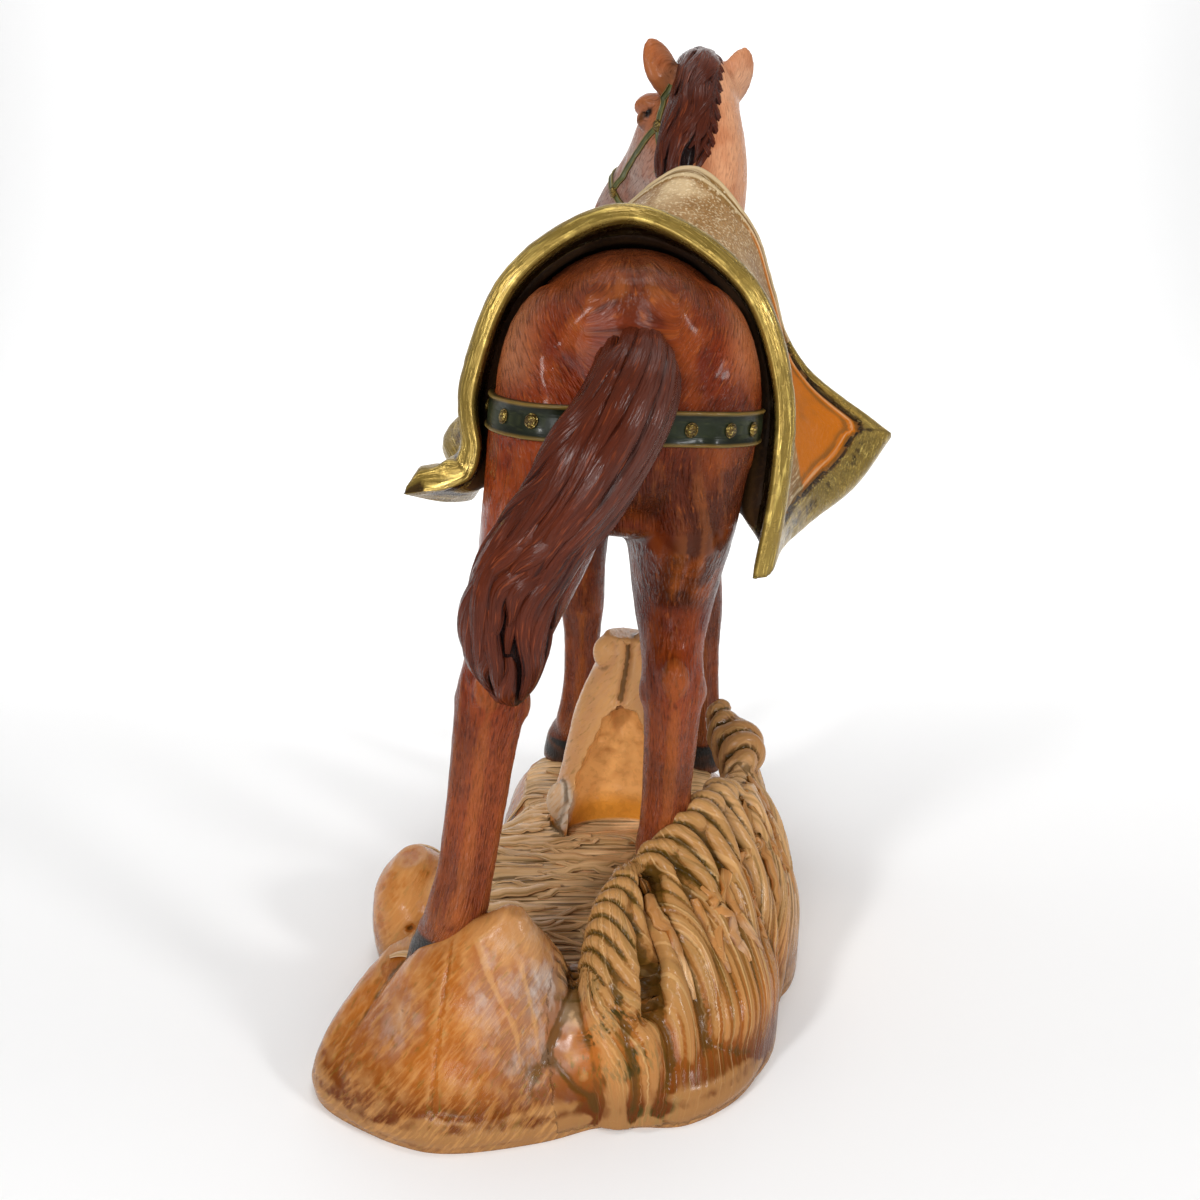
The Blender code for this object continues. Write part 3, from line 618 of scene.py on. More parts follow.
def horseSkin():
    look = horseLook
    made = fused("horseSkin", horseShapes(), look["voxel"], look["rounding"])
    points, ways = placesOf(made), normalsOf(made)
    tree = skinTree(made)
    points = points + ways * carved(points, ways, tree, horseCuts())[:, None]
    flow = coatFlow(points)
    along = (points - poll) @ noseWay
    fur = cloudy(np.stack([flow[:, 0] / look["furWidth"] + noise(points / 7, 19), flow[:, 1] / 5, flow[:, 2]],
                          1), 1.0, 3)
    nearEar = np.min([np.linalg.norm(points - (np.array(root) + np.array(tip)) / 2, axis=1)
                      for root, tip in ears], axis=0)
    quiet = ramp(points[:, 2], 14, 24) * ramp(nearEar, 9, 14)
    # Where the strokes' direction changes at once, none are drawn.
    jump = np.linalg.norm(smoothedOver(made, flow, 2) - flow, axis=1)
    combed = ramp(smoothedOver(made, jump, 5)[:, 0], 0.7, 0.2)
    points = points + ways * (fur * look["furDepth"] * 2 * quiet * combed)[:, None]
    setPlaces(made, points)
    storeValues(made, flow=flow, recess=recesses(made, fineDepth=0.2, broadDepth=1.6))
    x, y, z = points.T
    hoofTop = look["hoofHeight"] + 0.3
    feet = [stations[-1][:2] for stations in legs]
    near = np.min([np.linalg.norm(points[:, :2] - np.array(foot), axis=1) for foot in feet], axis=0)
    hoofTop = hoofTop + 7.0 * (x > 22)     # the near one is set in the boulder's shoulder
    storeValues(made, hoof=ramp(z, hoofTop + 0.5, hoofTop - 0.5) * (near < 22))
    onFace = np.stack([along, (points - poll) @ browWay, np.abs((points - poll) @ cheekWay)], 1)
    eyeGap = np.linalg.norm((onFace - (18.0, -2.6, 18.0)) / (4.2, 1.35, 5.0), axis=1)
    storeValues(made, eye=ramp(eyeGap, 1.15, 0.85))
    neckShare = ramp(z, 172, 232) * ramp(along, 70, 10)
    legShare = ramp(z, 96, 60) * 0.42
    muzzle = ramp(along, 62, 76)
    neckRight = neckShare * ramp(x, -44, -54)
    earRight = ramp(np.linalg.norm(points - (-61, -109, 268), axis=1), 16, 10)
    sides = (ramp(x, 4, 15) + ramp(x, -38, -47)) * (y > 15) * ramp(z, 160, 172) * ramp(z, 198, 188)
    # Paler places: painted light on the neck, most on its lit right side, and on the right ear; the lower legs and
    # the rump's sides are a little paler as well.
    storeValues(made, pale=np.clip(neckShare * 0.3 + neckRight * 0.6 + earRight * 0.6
                                   + legShare * 0.2 + sides * 0.3, 0, 1))
    # Darker places: painted shade on faces turned down, painted shadow on the rump's top below the blanket and on
    # the right thigh, and a darker muzzle.
    under = ramp(ways[:, 2], -0.1, -0.8) * ramp(z, 60, 100)
    shaded = (ramp(z, 170, 198) * (y > 0) * 0.6
              + ramp(x, -12, -40) * ramp(z, 92, 108) * ramp(z, 172, 150) * (y > 0) * 0.75)
    storeValues(made, dark=np.clip(under * 0.7 + muzzle * 0.35 + shaded, 0, 1))
    # A grey frosting on the face, with a little painted light on the neck's lit right side and on the right ear.
    frost = (ramp(along, 14, 36) * ramp(onFace[:, 1], -44, -28) * ramp(z, 190, 205) * 0.9
             * (0.65 + 0.6 * cloudy(points, 9, 27)) + (neckRight + earRight) * 0.12)
    storeValues(
        made, frost=np.clip(frost, 0, 1),
        combed=combed * (1 - 0.5 * np.clip(neckShare * 0.6 + neckRight + earRight, 0, 1)))
    innerEar = np.zeros(len(points))
    for root, tip in ears:
        middle = (np.array(root) + np.array(tip)) / 2
        innerEar = np.maximum(innerEar, ramp(np.linalg.norm(points - middle - noseWay * 2.5, axis=1), 6, 3))
    storeValues(made, inner=innerEar * 0.6)
    finish = paintedResin("chestnut paint under varnish", look["paint"])
    return dressed(made, [finish], "horse")


horse = horseSkin()
print("stage: horse skin,", len(horse.data.vertices), "vertices")


# The blanket.

blanketLook = {
    "thickness": 3.4,
    "hemWidth": 11.5,
    "hemRise": 1.3,
    "clearance": 1.6,
    "fillReach": 22.0,
    "fillGap": 0.9,
    "coarse": (19, 41),      # places along and across before it is smoothed
    "rows": 150,
    "columns": 250,
    "rimRoll": 3.4,
    "lineRise": 0.55,        # of the hem's crown and the line inside it
    "engraving": 0.9,
    "cloth": {
        "base": "#9e784a", "second": "#8c6538", "patchSize": 22.0,
        "zones": {"olive": "#6a5220"}, "overZones": {"orange": "#c46a00"},
        "strokes": [
            {"size": (0.9, 9.0), "from": (0.47, 0.62), "amount": 0.62, "tone": "#75552a", "bump": 0.9},
            {"size": (1.0, 12.0), "from": (0.53, 0.66), "amount": 0.60, "tone": "#e0cca8", "bump": 0.5},
        ],
        "wash": "#6b4a1c", "washFrom": (0.15, 0.8, 0.7),
        "ridge": "#e9d2a8", "ridgeFrom": (-0.2, -0.9, 0.5),
        "roughness": (0.34, 0.5), "varnish": 0.05, "specular": 0.14, "bumpDepth": 0.35,
    },
    "gold": {
        "base": "#6f500c", "second": "#453007", "patchSize": 8.0, "metallic": 0.6,
        "zones": {"shade": "#3a2608"},
        "strokes": [
            {"size": (0.8, 16.0), "from": (0.42, 0.57), "amount": 0.90, "tone": "#2c1b03",
             "bump": 1.2, "detail": 3.0},
            # Light streaks along the hem: burnished gold that also serves as painted highlights.
            {"size": (0.6, 12.0), "from": (0.56, 0.67), "amount": 0.85, "tone": "#e8cd74",
             "bump": 0.8, "detail": 4.0},
        ],
        "wash": "#2e1d08", "washFrom": (0.05, 0.6, 0.9),
        "ridge": "#cfae50", "ridgeFrom": (-0.35, -0.9, 0.38),
        "roughness": (0.20, 0.36), "varnish": 0.05, "bumpDepth": 0.5,
    },
    # The inside of the cloth: dark umber, painted as the shadow under the blanket.
    "lining": {
        "base": "#3a2412", "second": "#24160b", "patchSize": 14.0,
        "strokes": [{"size": (0.9, 8.0), "from": (0.5, 0.7), "amount": 0.5, "tone": "#5a3c1c", "bump": 0.5}],
        "wash": "#120a05", "washFrom": (0.2, 0.9, 0.6),
        "ridge": "#6b4a24", "ridgeFrom": (-0.2, -0.9, 0.4),
        "roughness": (0.5, 0.65), "bumpDepth": 0.2,
    },
}

rails = [
    [(46.5, 60, 138), (38, 30, 129), (36, -4, 126), (48, -36, 138), (36, -68, 147)],
    [(29, 59, 142), (29.5, 27, 141), (29.5, -6, 139), (34, -40, 144), (23, -76, 160)],
    [(29, 58, 163), (28.5, 26, 162), (27, -8, 161), (24, -44, 167), (8, -80, 184)],
    [(15.5, 57, 194), (16.5, 26, 191), (14, -8, 189), (6, -44, 197), (-15, -76, 213)],
    [(-15, 55, 210), (-17, 26, 206), (-19, -8, 203), (-27, -40, 211), (-40.5, -68, 232.5)],
    [(-46, 57, 193), (-51.0, 26, 191), (-53, -8, 190), (-57, -40, 199), (-62.5, -67, 213)],
    [(-58, 58, 166), (-62.5, 26, 166), (-64.5, -7, 167), (-66.5, -38, 174), (-71, -62, 190)],
    [(-58.5, 59, 139), (-65, 28, 139), (-71, 0, 141), (-76, -28, 148), (-80, -54, 164)],
    [(-54, 60, 110), (-62, 30, 111), (-75, 5, 114), (-97, -22, 124), (-113, -42, 139)],
]


def evenly(line, count):
    line = np.array(line)
    lengths = np.r_[0, np.cumsum(np.linalg.norm(np.diff(line, axis=0), axis=1))]
    picks = np.linspace(0, lengths[-1], count)
    return np.stack([np.interp(picks, lengths, line[:, axis]) for axis in range(3)], axis=1)


def outward(grid):
    return unit(np.cross(np.gradient(grid, axis=1), np.gradient(grid, axis=0)))


def clearOf(tree, place, way, distance):
    # The place moved along way until it is this far outside the skin.
    for _ in range(4):
        found, normal, _, _ = tree.ray_cast(place, way, 60)
        if found is None or normal.dot(way) < 0:
            break
        place = found + way * distance
    for _ in range(4):
        found, normal, _, gap = tree.find_nearest(place)
        if gap >= distance:
            break
        place = place + (way + normal).normalized() * (distance - gap)
    return place


def clothUnderside(rows, columns):
    # The inside of the cloth as an even grid, back to front and left hem to right, held clear of the horse.
    smooth = [smoothRow(rail, 12) for rail in rails]
    lengthwise = np.array([evenly(rail, rows) for rail in smooth])
    grid = np.array([evenly(smoothRow(lengthwise[:, row], 12), columns) for row in range(rows)])
    grid -= outward(grid) * blanketLook["thickness"]
    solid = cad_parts["horse"]
    corners = [solid.matrix_world @ v.co / mm - Vector((0, 0, groundHeight)) for v in solid.data.vertices]
    tree = BVHTree.FromPolygons(corners, [tuple(p.vertices) for p in solid.data.polygons])
    for ease in (0.5, 0.4, 0.3, 0.0):
        ways = outward(grid)
        for r, c in np.ndindex(grid.shape[:2]):
            grid[r, c] = clearOf(tree, Vector(grid[r, c]), Vector(ways[r, c]), blanketLook["clearance"])
        middle = (grid[:-2, 1:-1] + grid[2:, 1:-1] + grid[1:-1, :-2] + grid[1:-1, 2:]) / 4
        grid[1:-1, 1:-1] += (middle - grid[1:-1, 1:-1]) * ease
    return grid


def refined(grid, rows, columns):
    # The grid read again at more places, smoothly.
    fine = np.array([evenly(smoothRow(line, 10), columns) for line in grid])
    return np.array([evenly(smoothRow(fine[:, c], 10), rows) for c in range(columns)]).transpose(1, 0, 2)


def blanketCloth():
    look = blanketLook
    coarse = clothUnderside(*look["coarse"])
    rows, columns = look["rows"], look["columns"]
    under = refined(coarse, rows, columns)
    ways = outward(under)
    stepAlong = np.linalg.norm(np.diff(under, axis=0), axis=2).mean(1)
    fromBack = np.r_[0, np.cumsum(stepAlong)]
    fromFront = fromBack[-1] - fromBack
    across = np.concatenate([np.zeros((rows, 1)),
                             np.cumsum(np.linalg.norm(np.diff(under, axis=1), axis=2), axis=1)], 1)
    fromLeft, fromRight = across, across[:, -1:] - across
    edge = np.minimum(np.minimum(fromBack[:, None], fromFront[:, None]), np.minimum(fromLeft, fromRight))
    atFront = ramp(fromFront[:, None] - np.minimum(fromLeft, fromRight), 4, -8)
    plain = atFront * ramp(fromRight, 45, 62)
    band = look["hemWidth"] * (1 + 0.07 * noise(under / 14, 5)) * (1 - atFront * 0.42 - plain * 0.30)
    hem = ramp(edge, band + 0.9, band - 0.4)
    # The rolled rim, an engraved line where it meets the cloth, and a raised inner line.
    roll = np.sqrt(np.clip(1 - (1 - np.clip(edge / look["rimRoll"], 0, 1)) ** 2, 0, 1))
    height = look["thickness"] + look["hemRise"] * hem * (1 - 0.6 * plain)
    # The left tip is thick, with creases along it.
    tip = ramp(np.hypot(fromBack[:, None], fromLeft), 30, 6)
    height += tip * (2.2 + 0.6 * np.sin((fromBack[:, None] - fromLeft) / 2.4 + noise(under / 9, 7)))
    rise = look["lineRise"]
    height += rise * hem * np.sin(np.clip(edge / band, 0, 1) * math.pi)
    height += (rise * np.exp(-(((edge - band - 2.6) / 0.9) ** 2))
               - look["engraving"] * np.exp(-(((edge - band - 0.2) / 0.8) ** 2)))
    height += hem * 0.22 * cloudy(under, 9, 11) + hem * 0.10 * noise(under / 1.8, 17)
    height += (1 - hem) * 0.30 * cloudy(under, 16, 23)
    height *= 1 - 0.65 * ramp(np.hypot(fromBack[:, None] * 0.5, fromLeft), 5.5, 0)
    over = under + ways * (height * (roll + 0.25 * (1 - tip) * (1 - roll)))[..., None]
    # Inside, the cloth fills out towards the horse, a dark sheet painted as shadow, so no light comes through
    # between them.
    body, filling = skinTree(horse), np.zeros((rows, columns))
    for r, c in np.ndindex(rows, columns):
        found = body.ray_cast(Vector(under[r, c]), Vector(-ways[r, c]), look["fillReach"])[3]
        filling[r, c] = 0 if found is None else max(0.0, found - look["fillGap"])
    filling *= ramp(edge, 5, 14) * ramp(fromBack[:, None], 7, 17)
    for _ in range(14):
        beside = filling[:-2, 1:-1] + filling[2:, 1:-1] + filling[1:-1, :-2] + filling[1:-1, 2:]
        filling[1:-1, 1:-1] = np.minimum(filling[1:-1, 1:-1], beside / 4)
    inner = under - ways * np.maximum(filling, hem * 0.5 * np.clip(edge / 3, 0, 1))[..., None]
    index = np.arange(rows * columns).reshape(rows, columns)
    a, b, d, e = index[:-1, :-1], index[:-1, 1:], index[1:, :-1], index[1:, 1:]
    outerFaces = np.stack([a, b, e, d], -1).reshape(-1, 4)
    innerFaces = np.stack([a, d, e, b], -1).reshape(-1, 4) + rows * columns
    rim = np.r_[index[0, :], index[1:, -1], index[-1, -2::-1], index[-2:0:-1, 0]]
    after = np.roll(rim, -1)
    rimFaces = np.stack([after, rim, rim + rows * columns, after + rows * columns], -1)
    faces = np.vstack([outerFaces, innerFaces, rimFaces])
    made = meshObject("blanketCloth", np.vstack([over.reshape(-1, 3), inner.reshape(-1, 3)]), faces)
    gilded = hem * (plain < 0.5)
    hemFaces = (gilded[:-1, :-1] + gilded[1:, 1:]).ravel() > 1
    paints = np.concatenate([np.where(hemFaces, 1, 0), np.where(hemFaces, 1, 2), np.full(len(rimFaces), 1)])
    made.data.polygons.foreach_set("material_index", paints.astype(np.int32))
    alongHem = np.minimum(fromBack, fromFront)[:, None] < np.minimum(fromLeft, fromRight)
    lines = np.broadcast_to(fromBack[:, None], edge.shape)
    flow = np.where((alongHem & (hem > 0.5))[..., None], np.stack([lines, across, edge], -1),
                    np.stack([across, lines, edge], -1))
    storeValues(made, flow=np.vstack([flow.reshape(-1, 3)] * 2), recess=recesses(made))
    olive = np.exp(-(((edge - band - 2.0) / 2.6) ** 2)) * 0.7 * (1 - hem) + 0.45 * plain * hem
    orange = ramp(fromRight, 62, 58) * ramp(fromFront[:, None] + 0 * edge, 70, 66) * (1 - hem)
    strip = (ramp(fromFront[:, None] + 0 * edge, 9, 7.5)
             * ramp(across, 0.56 * across.max(), 0.64 * across.max()) * (1 - hem))
    orange = np.maximum(orange, strip * 0.9)
    # Painted shade on the hem's rolled edge and on its inside.
    shade = ramp(edge, 2.4, 0.9) * 0.75
    storeValues(
        made, shade=np.r_[shade.ravel(), np.full(shade.size, 0.9)],
        olive=np.tile(olive.ravel(), 2),
        orange=np.tile(orange.ravel(), 2) * 0.92)
    for name, paint in (("cream and ochre paint", "cloth"), ("gold leaf paint, burnished", "gold"),
                        ("umber shadow paint", "lining")):
        made.data.materials.append(paintedResin(name, look[paint]))
    return dressed(made, [], "blanket")


blanket = blanketCloth()
print("stage: blanket,", len(blanket.data.vertices), "vertices")


# Hair, straps and other things that follow a line or repeat.


def endTree(tree, geometry, finish):
    # What every tree ends in: one plain mesh with its paint.
    whole = addNode(tree, "GeometryNodeRealizeInstances", {"Geometry": geometry}).outputs[0]
    painted = addNode(tree, "GeometryNodeSetMaterial", {"Geometry": whole, "Material": finish}).outputs[0]
    tree.links.new(painted, addNode(tree, "NodeGroupOutput").inputs[0])
    return tree


def strandTree(name, finish):
    # Strands swept along lines. Each line's vertices carry radius and up; the profile is a flattened, fluted oval.
    tree = bpy.data.node_groups.new(name, "GeometryNodeTree")
    tree.interface.new_socket("Lines", in_out="INPUT", socket_type="NodeSocketGeometry")
    for socket, value in (("Sides", 12), ("Flatness", 0.6), ("Flutes", 3.0), ("Flute depth", 0.1)):
        kind = "NodeSocketInt" if isinstance(value, int) else "NodeSocketFloat"
        tree.interface.new_socket(socket, in_out="INPUT", socket_type=kind).default_value = value
    tree.interface.new_socket("Strands", in_out="OUTPUT", socket_type="NodeSocketGeometry")
    entry = addNode(tree, "NodeGroupInput").outputs
    radius = addNode(tree, "GeometryNodeInputNamedAttribute", {"Name": "radius"},
                     data_type="FLOAT").outputs["Attribute"]
    up = addNode(tree, "GeometryNodeInputNamedAttribute", {"Name": "up"},
                 data_type="FLOAT_VECTOR").outputs["Attribute"]
    curves = addNode(tree, "GeometryNodeMeshToCurve", {"Mesh": entry["Lines"]}).outputs[0]
    curves = addNode(tree, "GeometryNodeSetCurveNormal", {"Curve": curves, "Normal": up}, mode="FREE").outputs[0]
    share = addNode(tree, "GeometryNodeSplineParameter").outputs["Length"]
    curves = addNode(tree, "GeometryNodeStoreNamedAttribute", {"Geometry": curves, "Name": "along", "Value": share},
                     data_type="FLOAT", domain="POINT").outputs[0]
    circle = addNode(tree, "GeometryNodeCurvePrimitiveCircle",
                     {"Resolution": entry["Sides"], "Radius": 1.0}).outputs[0]
    spot = addNode(tree, "GeometryNodeInputPosition").outputs[0]
    parts = addNode(tree, "ShaderNodeSeparateXYZ", {0: spot}).outputs
    angle = addNode(tree, "ShaderNodeMath", {0: parts[1], 1: parts[0]}, operation="ARCTAN2").outputs[0]
    waves = addNode(tree, "ShaderNodeMath", {0: angle, 1: entry["Flutes"]}, operation="MULTIPLY").outputs[0]
    waves = addNode(tree, "ShaderNodeMath", {0: waves}, operation="COSINE").outputs[0]
    swell = addNode(tree, "ShaderNodeMath", {0: waves, 1: entry["Flute depth"], 2: 1.0},
                    operation="MULTIPLY_ADD").outputs[0]
    fluted = addNode(tree, "ShaderNodeVectorMath", {0: spot, "Scale": swell}, operation="SCALE").outputs[0]
    squeeze = addNode(tree, "ShaderNodeCombineXYZ", {0: entry["Flatness"], 1: 1.0, 2: 1.0}).outputs[0]
    shaped = addNode(tree, "ShaderNodeVectorMath", {0: fluted, 1: squeeze}, operation="MULTIPLY").outputs[0]
    circle = addNode(tree, "GeometryNodeStoreNamedAttribute",
                     {"Geometry": circle, "Name": "around", "Value": angle},
                     data_type="FLOAT", domain="POINT").outputs[0]
    profile = addNode(tree, "GeometryNodeSetPosition", {"Geometry": circle, "Position": shaped}).outputs[0]
    swept = addNode(tree, "GeometryNodeCurveToMesh",
                    {"Curve": curves, "Profile Curve": profile, "Scale": radius, "Fill Caps": True}).outputs[0]
    return endTree(tree, swept, finish)


def withNodes(made, tree, **choices):
    # The node tree run on the object with its named inputs set, and worked into the mesh.
    modifier = made.modifiers.new(tree.name, "NODES")
    modifier.node_group = tree
    for socket in tree.interface.items_tree:
        if socket.in_out == "INPUT" and socket.name in choices:
            modifier[socket.identifier] = choices[socket.name]
    return applied(made)


def strands(name, lines, finish, **choices):
    # One mesh of strands from lines of places, radii in mm and outward directions.
    edges, start = [], 0
    for line in lines:
        edges += [(start + i, start + i + 1) for i in range(len(line[0]) - 1)]
        start += len(line[0])
    made = meshObject(name, np.vstack([line[0] for line in lines]), edges=edges)
    storeValues(
        made, radius=np.concatenate([line[1] for line in lines]) * mm,
        up=np.vstack([line[2] for line in lines]))
    withNodes(made, strandTree(name + " strands", finish), **choices)
    around, along = [readOut(made.data.attributes[value].data, "value", 1)[:, 0] for value in ("around", "along")]
    along = along / mm
    # One side of each strand takes the dark wash as painted shade, the other side the dry brushing as painted
    # highlight.
    lean = np.cos(around)
    storeValues(
        made, recess=np.clip(-0.75 * lean + 0.15 + 0.5 * recesses(made, 3, 10), -1.2, 1.2),
        flow=np.stack([around * 1.6, along, placesOf(made)[:, 0] * 0.02], 1))
    return facingOut(made)


def tubeFrame(stations, side=(1, 0, 0), steps=12):
    # Centres, wide and deep directions and half sizes along a tube.
    rings = smoothRow(stations, steps)
    along = unit(np.gradient(rings[:, :3], axis=0))
    wide = unit(np.array(side, float) - along * (along @ np.array(side, float))[:, None])
    return rings[:, :3], wide, np.cross(along, wide), rings[:, 3:5]


def lockLine(tube, start, end, angle, twist, radius, lift=(0.92, 1.0, 1.06), wave=0.0, count=22, seed=0):
    # One lock on a tube's surface from one share of its length to another, turning round it as it goes.
    centres, wide, deep, sizes = tube
    t = np.linspace(0, 1, count)
    at = np.clip(start + (end - start) * t, 0, 1) * (len(centres) - 1)
    rows = np.arange(len(centres))
    read = lambda table: np.stack([np.interp(at, rows, table[:, k]) for k in range(table.shape[1])], 1)
    turn = np.radians(angle + twist * t + wave * 16 * np.sin(t * 9 + seed))
    out = read(wide) * np.cos(turn)[:, None] + read(deep) * np.sin(turn)[:, None]
    size = read(sizes)
    rise = np.interp(t, [0, 0.6, 1], lift)
    points = (read(centres) + (read(wide) * (size[:, :1] * np.cos(turn)[:, None])
                               + read(deep) * (size[:, 1:] * np.sin(turn)[:, None])) * rise[:, None])
    radii = (radius * np.clip(np.sin(math.pi * (0.10 + 0.88 * t)) ** 0.6, 0.12, 1)
             * (1 + 0.12 * np.sin(t * 11 + seed * 3)))
    return points, radii, out


hairLook = {
    "tailLocks": (14, 11, 13),     # round the tail: long ones, lower ones, tips
    # Locks that end on the tail's left edge: where they start and end along it, and their half width.
    "steps": ((0.16, 0.44, 3.4), (0.22, 0.50, 3.2), (0.30, 0.57, 3.0), (0.52, 0.80, 3.2)),
    "maneLocks": 34,
    "forelock": 11,
    "curls": 11,
    "paint": {
        "base": "#35120a", "second": "#260c08", "patchSize": 12.0,
        # The grey-violet zone is a painted sheen.
        "zones": {"warm": "#80340f", "sheen": "#483430"},
        "strokes": [
            {"size": (0.4, 9.0), "from": (0.46, 0.62), "amount": 0.80, "tone": "#1c0805", "bump": 1.5},
            {"size": (0.45, 8.0), "from": (0.58, 0.70), "amount": 0.55, "tone": "#924420", "bump": 0.5},
        ],
        "wash": "#120605", "washFrom": (-0.25, 0.35, 0.95),
        "ridge": "#642c18", "ridgeFrom": (-0.5, -1.0, 0.40),
        "roughness": (0.15, 0.27), "varnish": 0.06, "specular": 0.12, "bumpDepth": 0.45,
    },
}


def horseHair():
    look = hairLook
    rng = np.random.default_rng(7)
    finish = paintedResin("plum brown hair paint under varnish", look["paint"])
    core = [(x, y, z, w * 0.93, d * 0.93) for x, y, z, w, d in tail]
    crestCore = [(x, y, z, w * 0.93, d * 0.93) for x, y, z, w, d in maneCrest]
    for name, stations, lobes in (("tailCore", core, 9), ("maneCore", crestCore, 7)):
        made = meshObject(name, *loftShape(stations, sides=60, steps=8, lobes=lobes, lobeDepth=0.05, twist=3.0))
        points = placesOf(made)
        # The cores, seen deep between the locks, take the dark wash all over as painted shade.
        storeValues(
            made, flow=np.stack([points[:, 0] * 1.5, points[:, 2], points[:, 1]], 1),
            recess=np.full(len(points), 0.2))
        dressed(made, [finish], "horse")
    tube = tubeFrame(tail)
    lines = []
    long, lower, tips = look["tailLocks"]
    for i in range(long):
        angle = 360 * i / long + rng.uniform(-6, 6)
        lines.append(lockLine(tube, rng.uniform(0.0, 0.06), rng.uniform(0.62, 0.9), angle, rng.uniform(28, 48),
                              rng.uniform(2.7, 3.7), (0.86, 0.97, 1.0), 0.3, 34, i))
    for i in range(lower):
        angle = 360 * i / lower + rng.uniform(-9, 9)
        start = rng.uniform(0.28, 0.5)
        lines.append(lockLine(tube, start, min(1.0, start + rng.uniform(0.42, 0.55)), angle, rng.uniform(12, 40),
                              rng.uniform(2.5, 3.4), (0.90, 1.03, 1.04), 0.5, 30, i + 40))
    for i in range(tips):
        start = 0.36 + 0.5 * i / tips
        lines.append(lockLine(tube, start, min(0.99, start + 0.2), rng.uniform(-150, -15), 26,
                              rng.uniform(2.2, 3.0), (0.88, 1.0, 1.08), 0.3, 20, i + 80))
    for start, end, wide in look["steps"]:
        lines.append(lockLine(tube, start, end, -72, 66, wide, (0.94, 1.02, 1.16), 0.2, 24, start * 40))
    made = strands("tailLocks", lines, finish,
                   **{"Sides": 26, "Flatness": 0.78, "Flutes": 9.0, "Flute depth": 0.06})
    points = placesOf(made)
    # A painted sheen down the tail's right edge; the warm tone on the upper tail is its own colour.
    rightEdge = np.interp(points[:, 2], [100, 120, 139, 159, 170], [4, -1, -10, -18, -20])
    storeValues(
        made, sheen=ramp(points[:, 0] - rightEdge, 5, -2) * ramp(points[:, 2], 108, 130) * 0.85,
        warm=ramp(points[:, 2], 150, 128) * 0.4 * (0.5 + 0.5 * noise(points / 12, 3)))
    dressed(made, [finish], "horse")
    # The mane falls from the crest, down and to the left; its right edge is a row of short curls.
    tube = tubeFrame(maneCrest[::-1])
    lines = []
    for i in range(look["maneLocks"]):
        share = i / (look["maneLocks"] - 1)
        start = 0.18 + 0.42 * rng.random()
        lines.append(lockLine(tube, start, min(1.0, start + rng.uniform(0.34, 0.5)),
                              -185 + 190 * share, rng.uniform(25, 60),
                              rng.uniform(1.8, 2.9), (0.88, 0.98, 1.06), 0.4, 26, i))
    for i in range(look["forelock"]):
        lines.append(lockLine(tube, rng.uniform(0.34, 0.44), rng.uniform(0.0, 0.08),
                              -170 + 20 * i, rng.uniform(-20, 20),
                              rng.uniform(1.5, 2.1), (0.95, 1.05, 1.0), 0.3, 18, i + 50))
    for i in range(look["curls"]):
        start = 0.26 + 0.6 * i / look["curls"]
        lines.append(lockLine(tube, start, start + 0.07, -130, -62, 2.1, (1.0, 1.10, 1.0), 0.0, 14, i))
    made = strands("maneLocks", lines, finish,
                   **{"Sides": 24, "Flatness": 0.55, "Flutes": 7.0, "Flute depth": 0.09})
    points = placesOf(made)
    # A painted sheen along the top of the mane.
    storeValues(
        made, sheen=ramp(points[:, 2], 266, 272) * 0.7,
        warm=ramp(np.linalg.norm(points - (-47, -96, 272), axis=1), 10, 4) * 0.8)
    dressed(made, [finish], "horse")


horseHair()
print("stage: mane and tail")


strapLook = {
    "breeching": {"halfHeight": 4.5, "thickness": 1.1},
    "halter": {"halfWidth": 1.25, "thickness": 0.8},
    "crown": ((4, -1.5, 14), (9, -6, 16), (14.5, -11, 17), (19, -18.5, 16), (23, -26, 13), (26, -32, 6)),
    "cheek": ((14.5, -11, 17), (28, -9.5, 15), (42, -7.5, 12), (55, -6, 10)),   # places on the head
    "stud": 1.95,
    "buckle": 2.3,
    "studPlaces": (23.5, 16.1, 8.5, -31.0, -41.1, -47.5),
    "strap": {
        "base": "#222817", "second": "#181c10", "patchSize": 9.0, "zones": {"edge": "#6e5424"},
        "strokes": [{"size": (0.8, 6.0), "from": (0.52, 0.7), "amount": 0.5, "tone": "#45482a", "bump": 0.6}],
        "wash": "#11130c", "washFrom": (0.1, 0.8, 0.8),
        "ridge": "#8a7434", "ridgeFrom": (-0.5, -0.9, 0.45),
        "roughness": (0.28, 0.42), "varnish": 0.08, "specular": 0.15, "bumpDepth": 0.3,
    },
    "halterPaint": {
        "base": "#5f6238", "second": "#4b4e2c", "patchSize": 7.0, "zones": {"edge": "#7c6c34"},
        "strokes": [{"size": (0.8, 6.0), "from": (0.52, 0.7), "amount": 0.5, "tone": "#2e301b", "bump": 0.5}],
        "wash": "#191a0d", "washFrom": (0.1, 0.8, 0.8),
        "ridge": "#a39a62", "ridgeFrom": (-0.3, -0.9, 0.6),
        "roughness": (0.28, 0.42), "varnish": 0.12, "specular": 0.22, "bumpDepth": 0.3,
    },
}


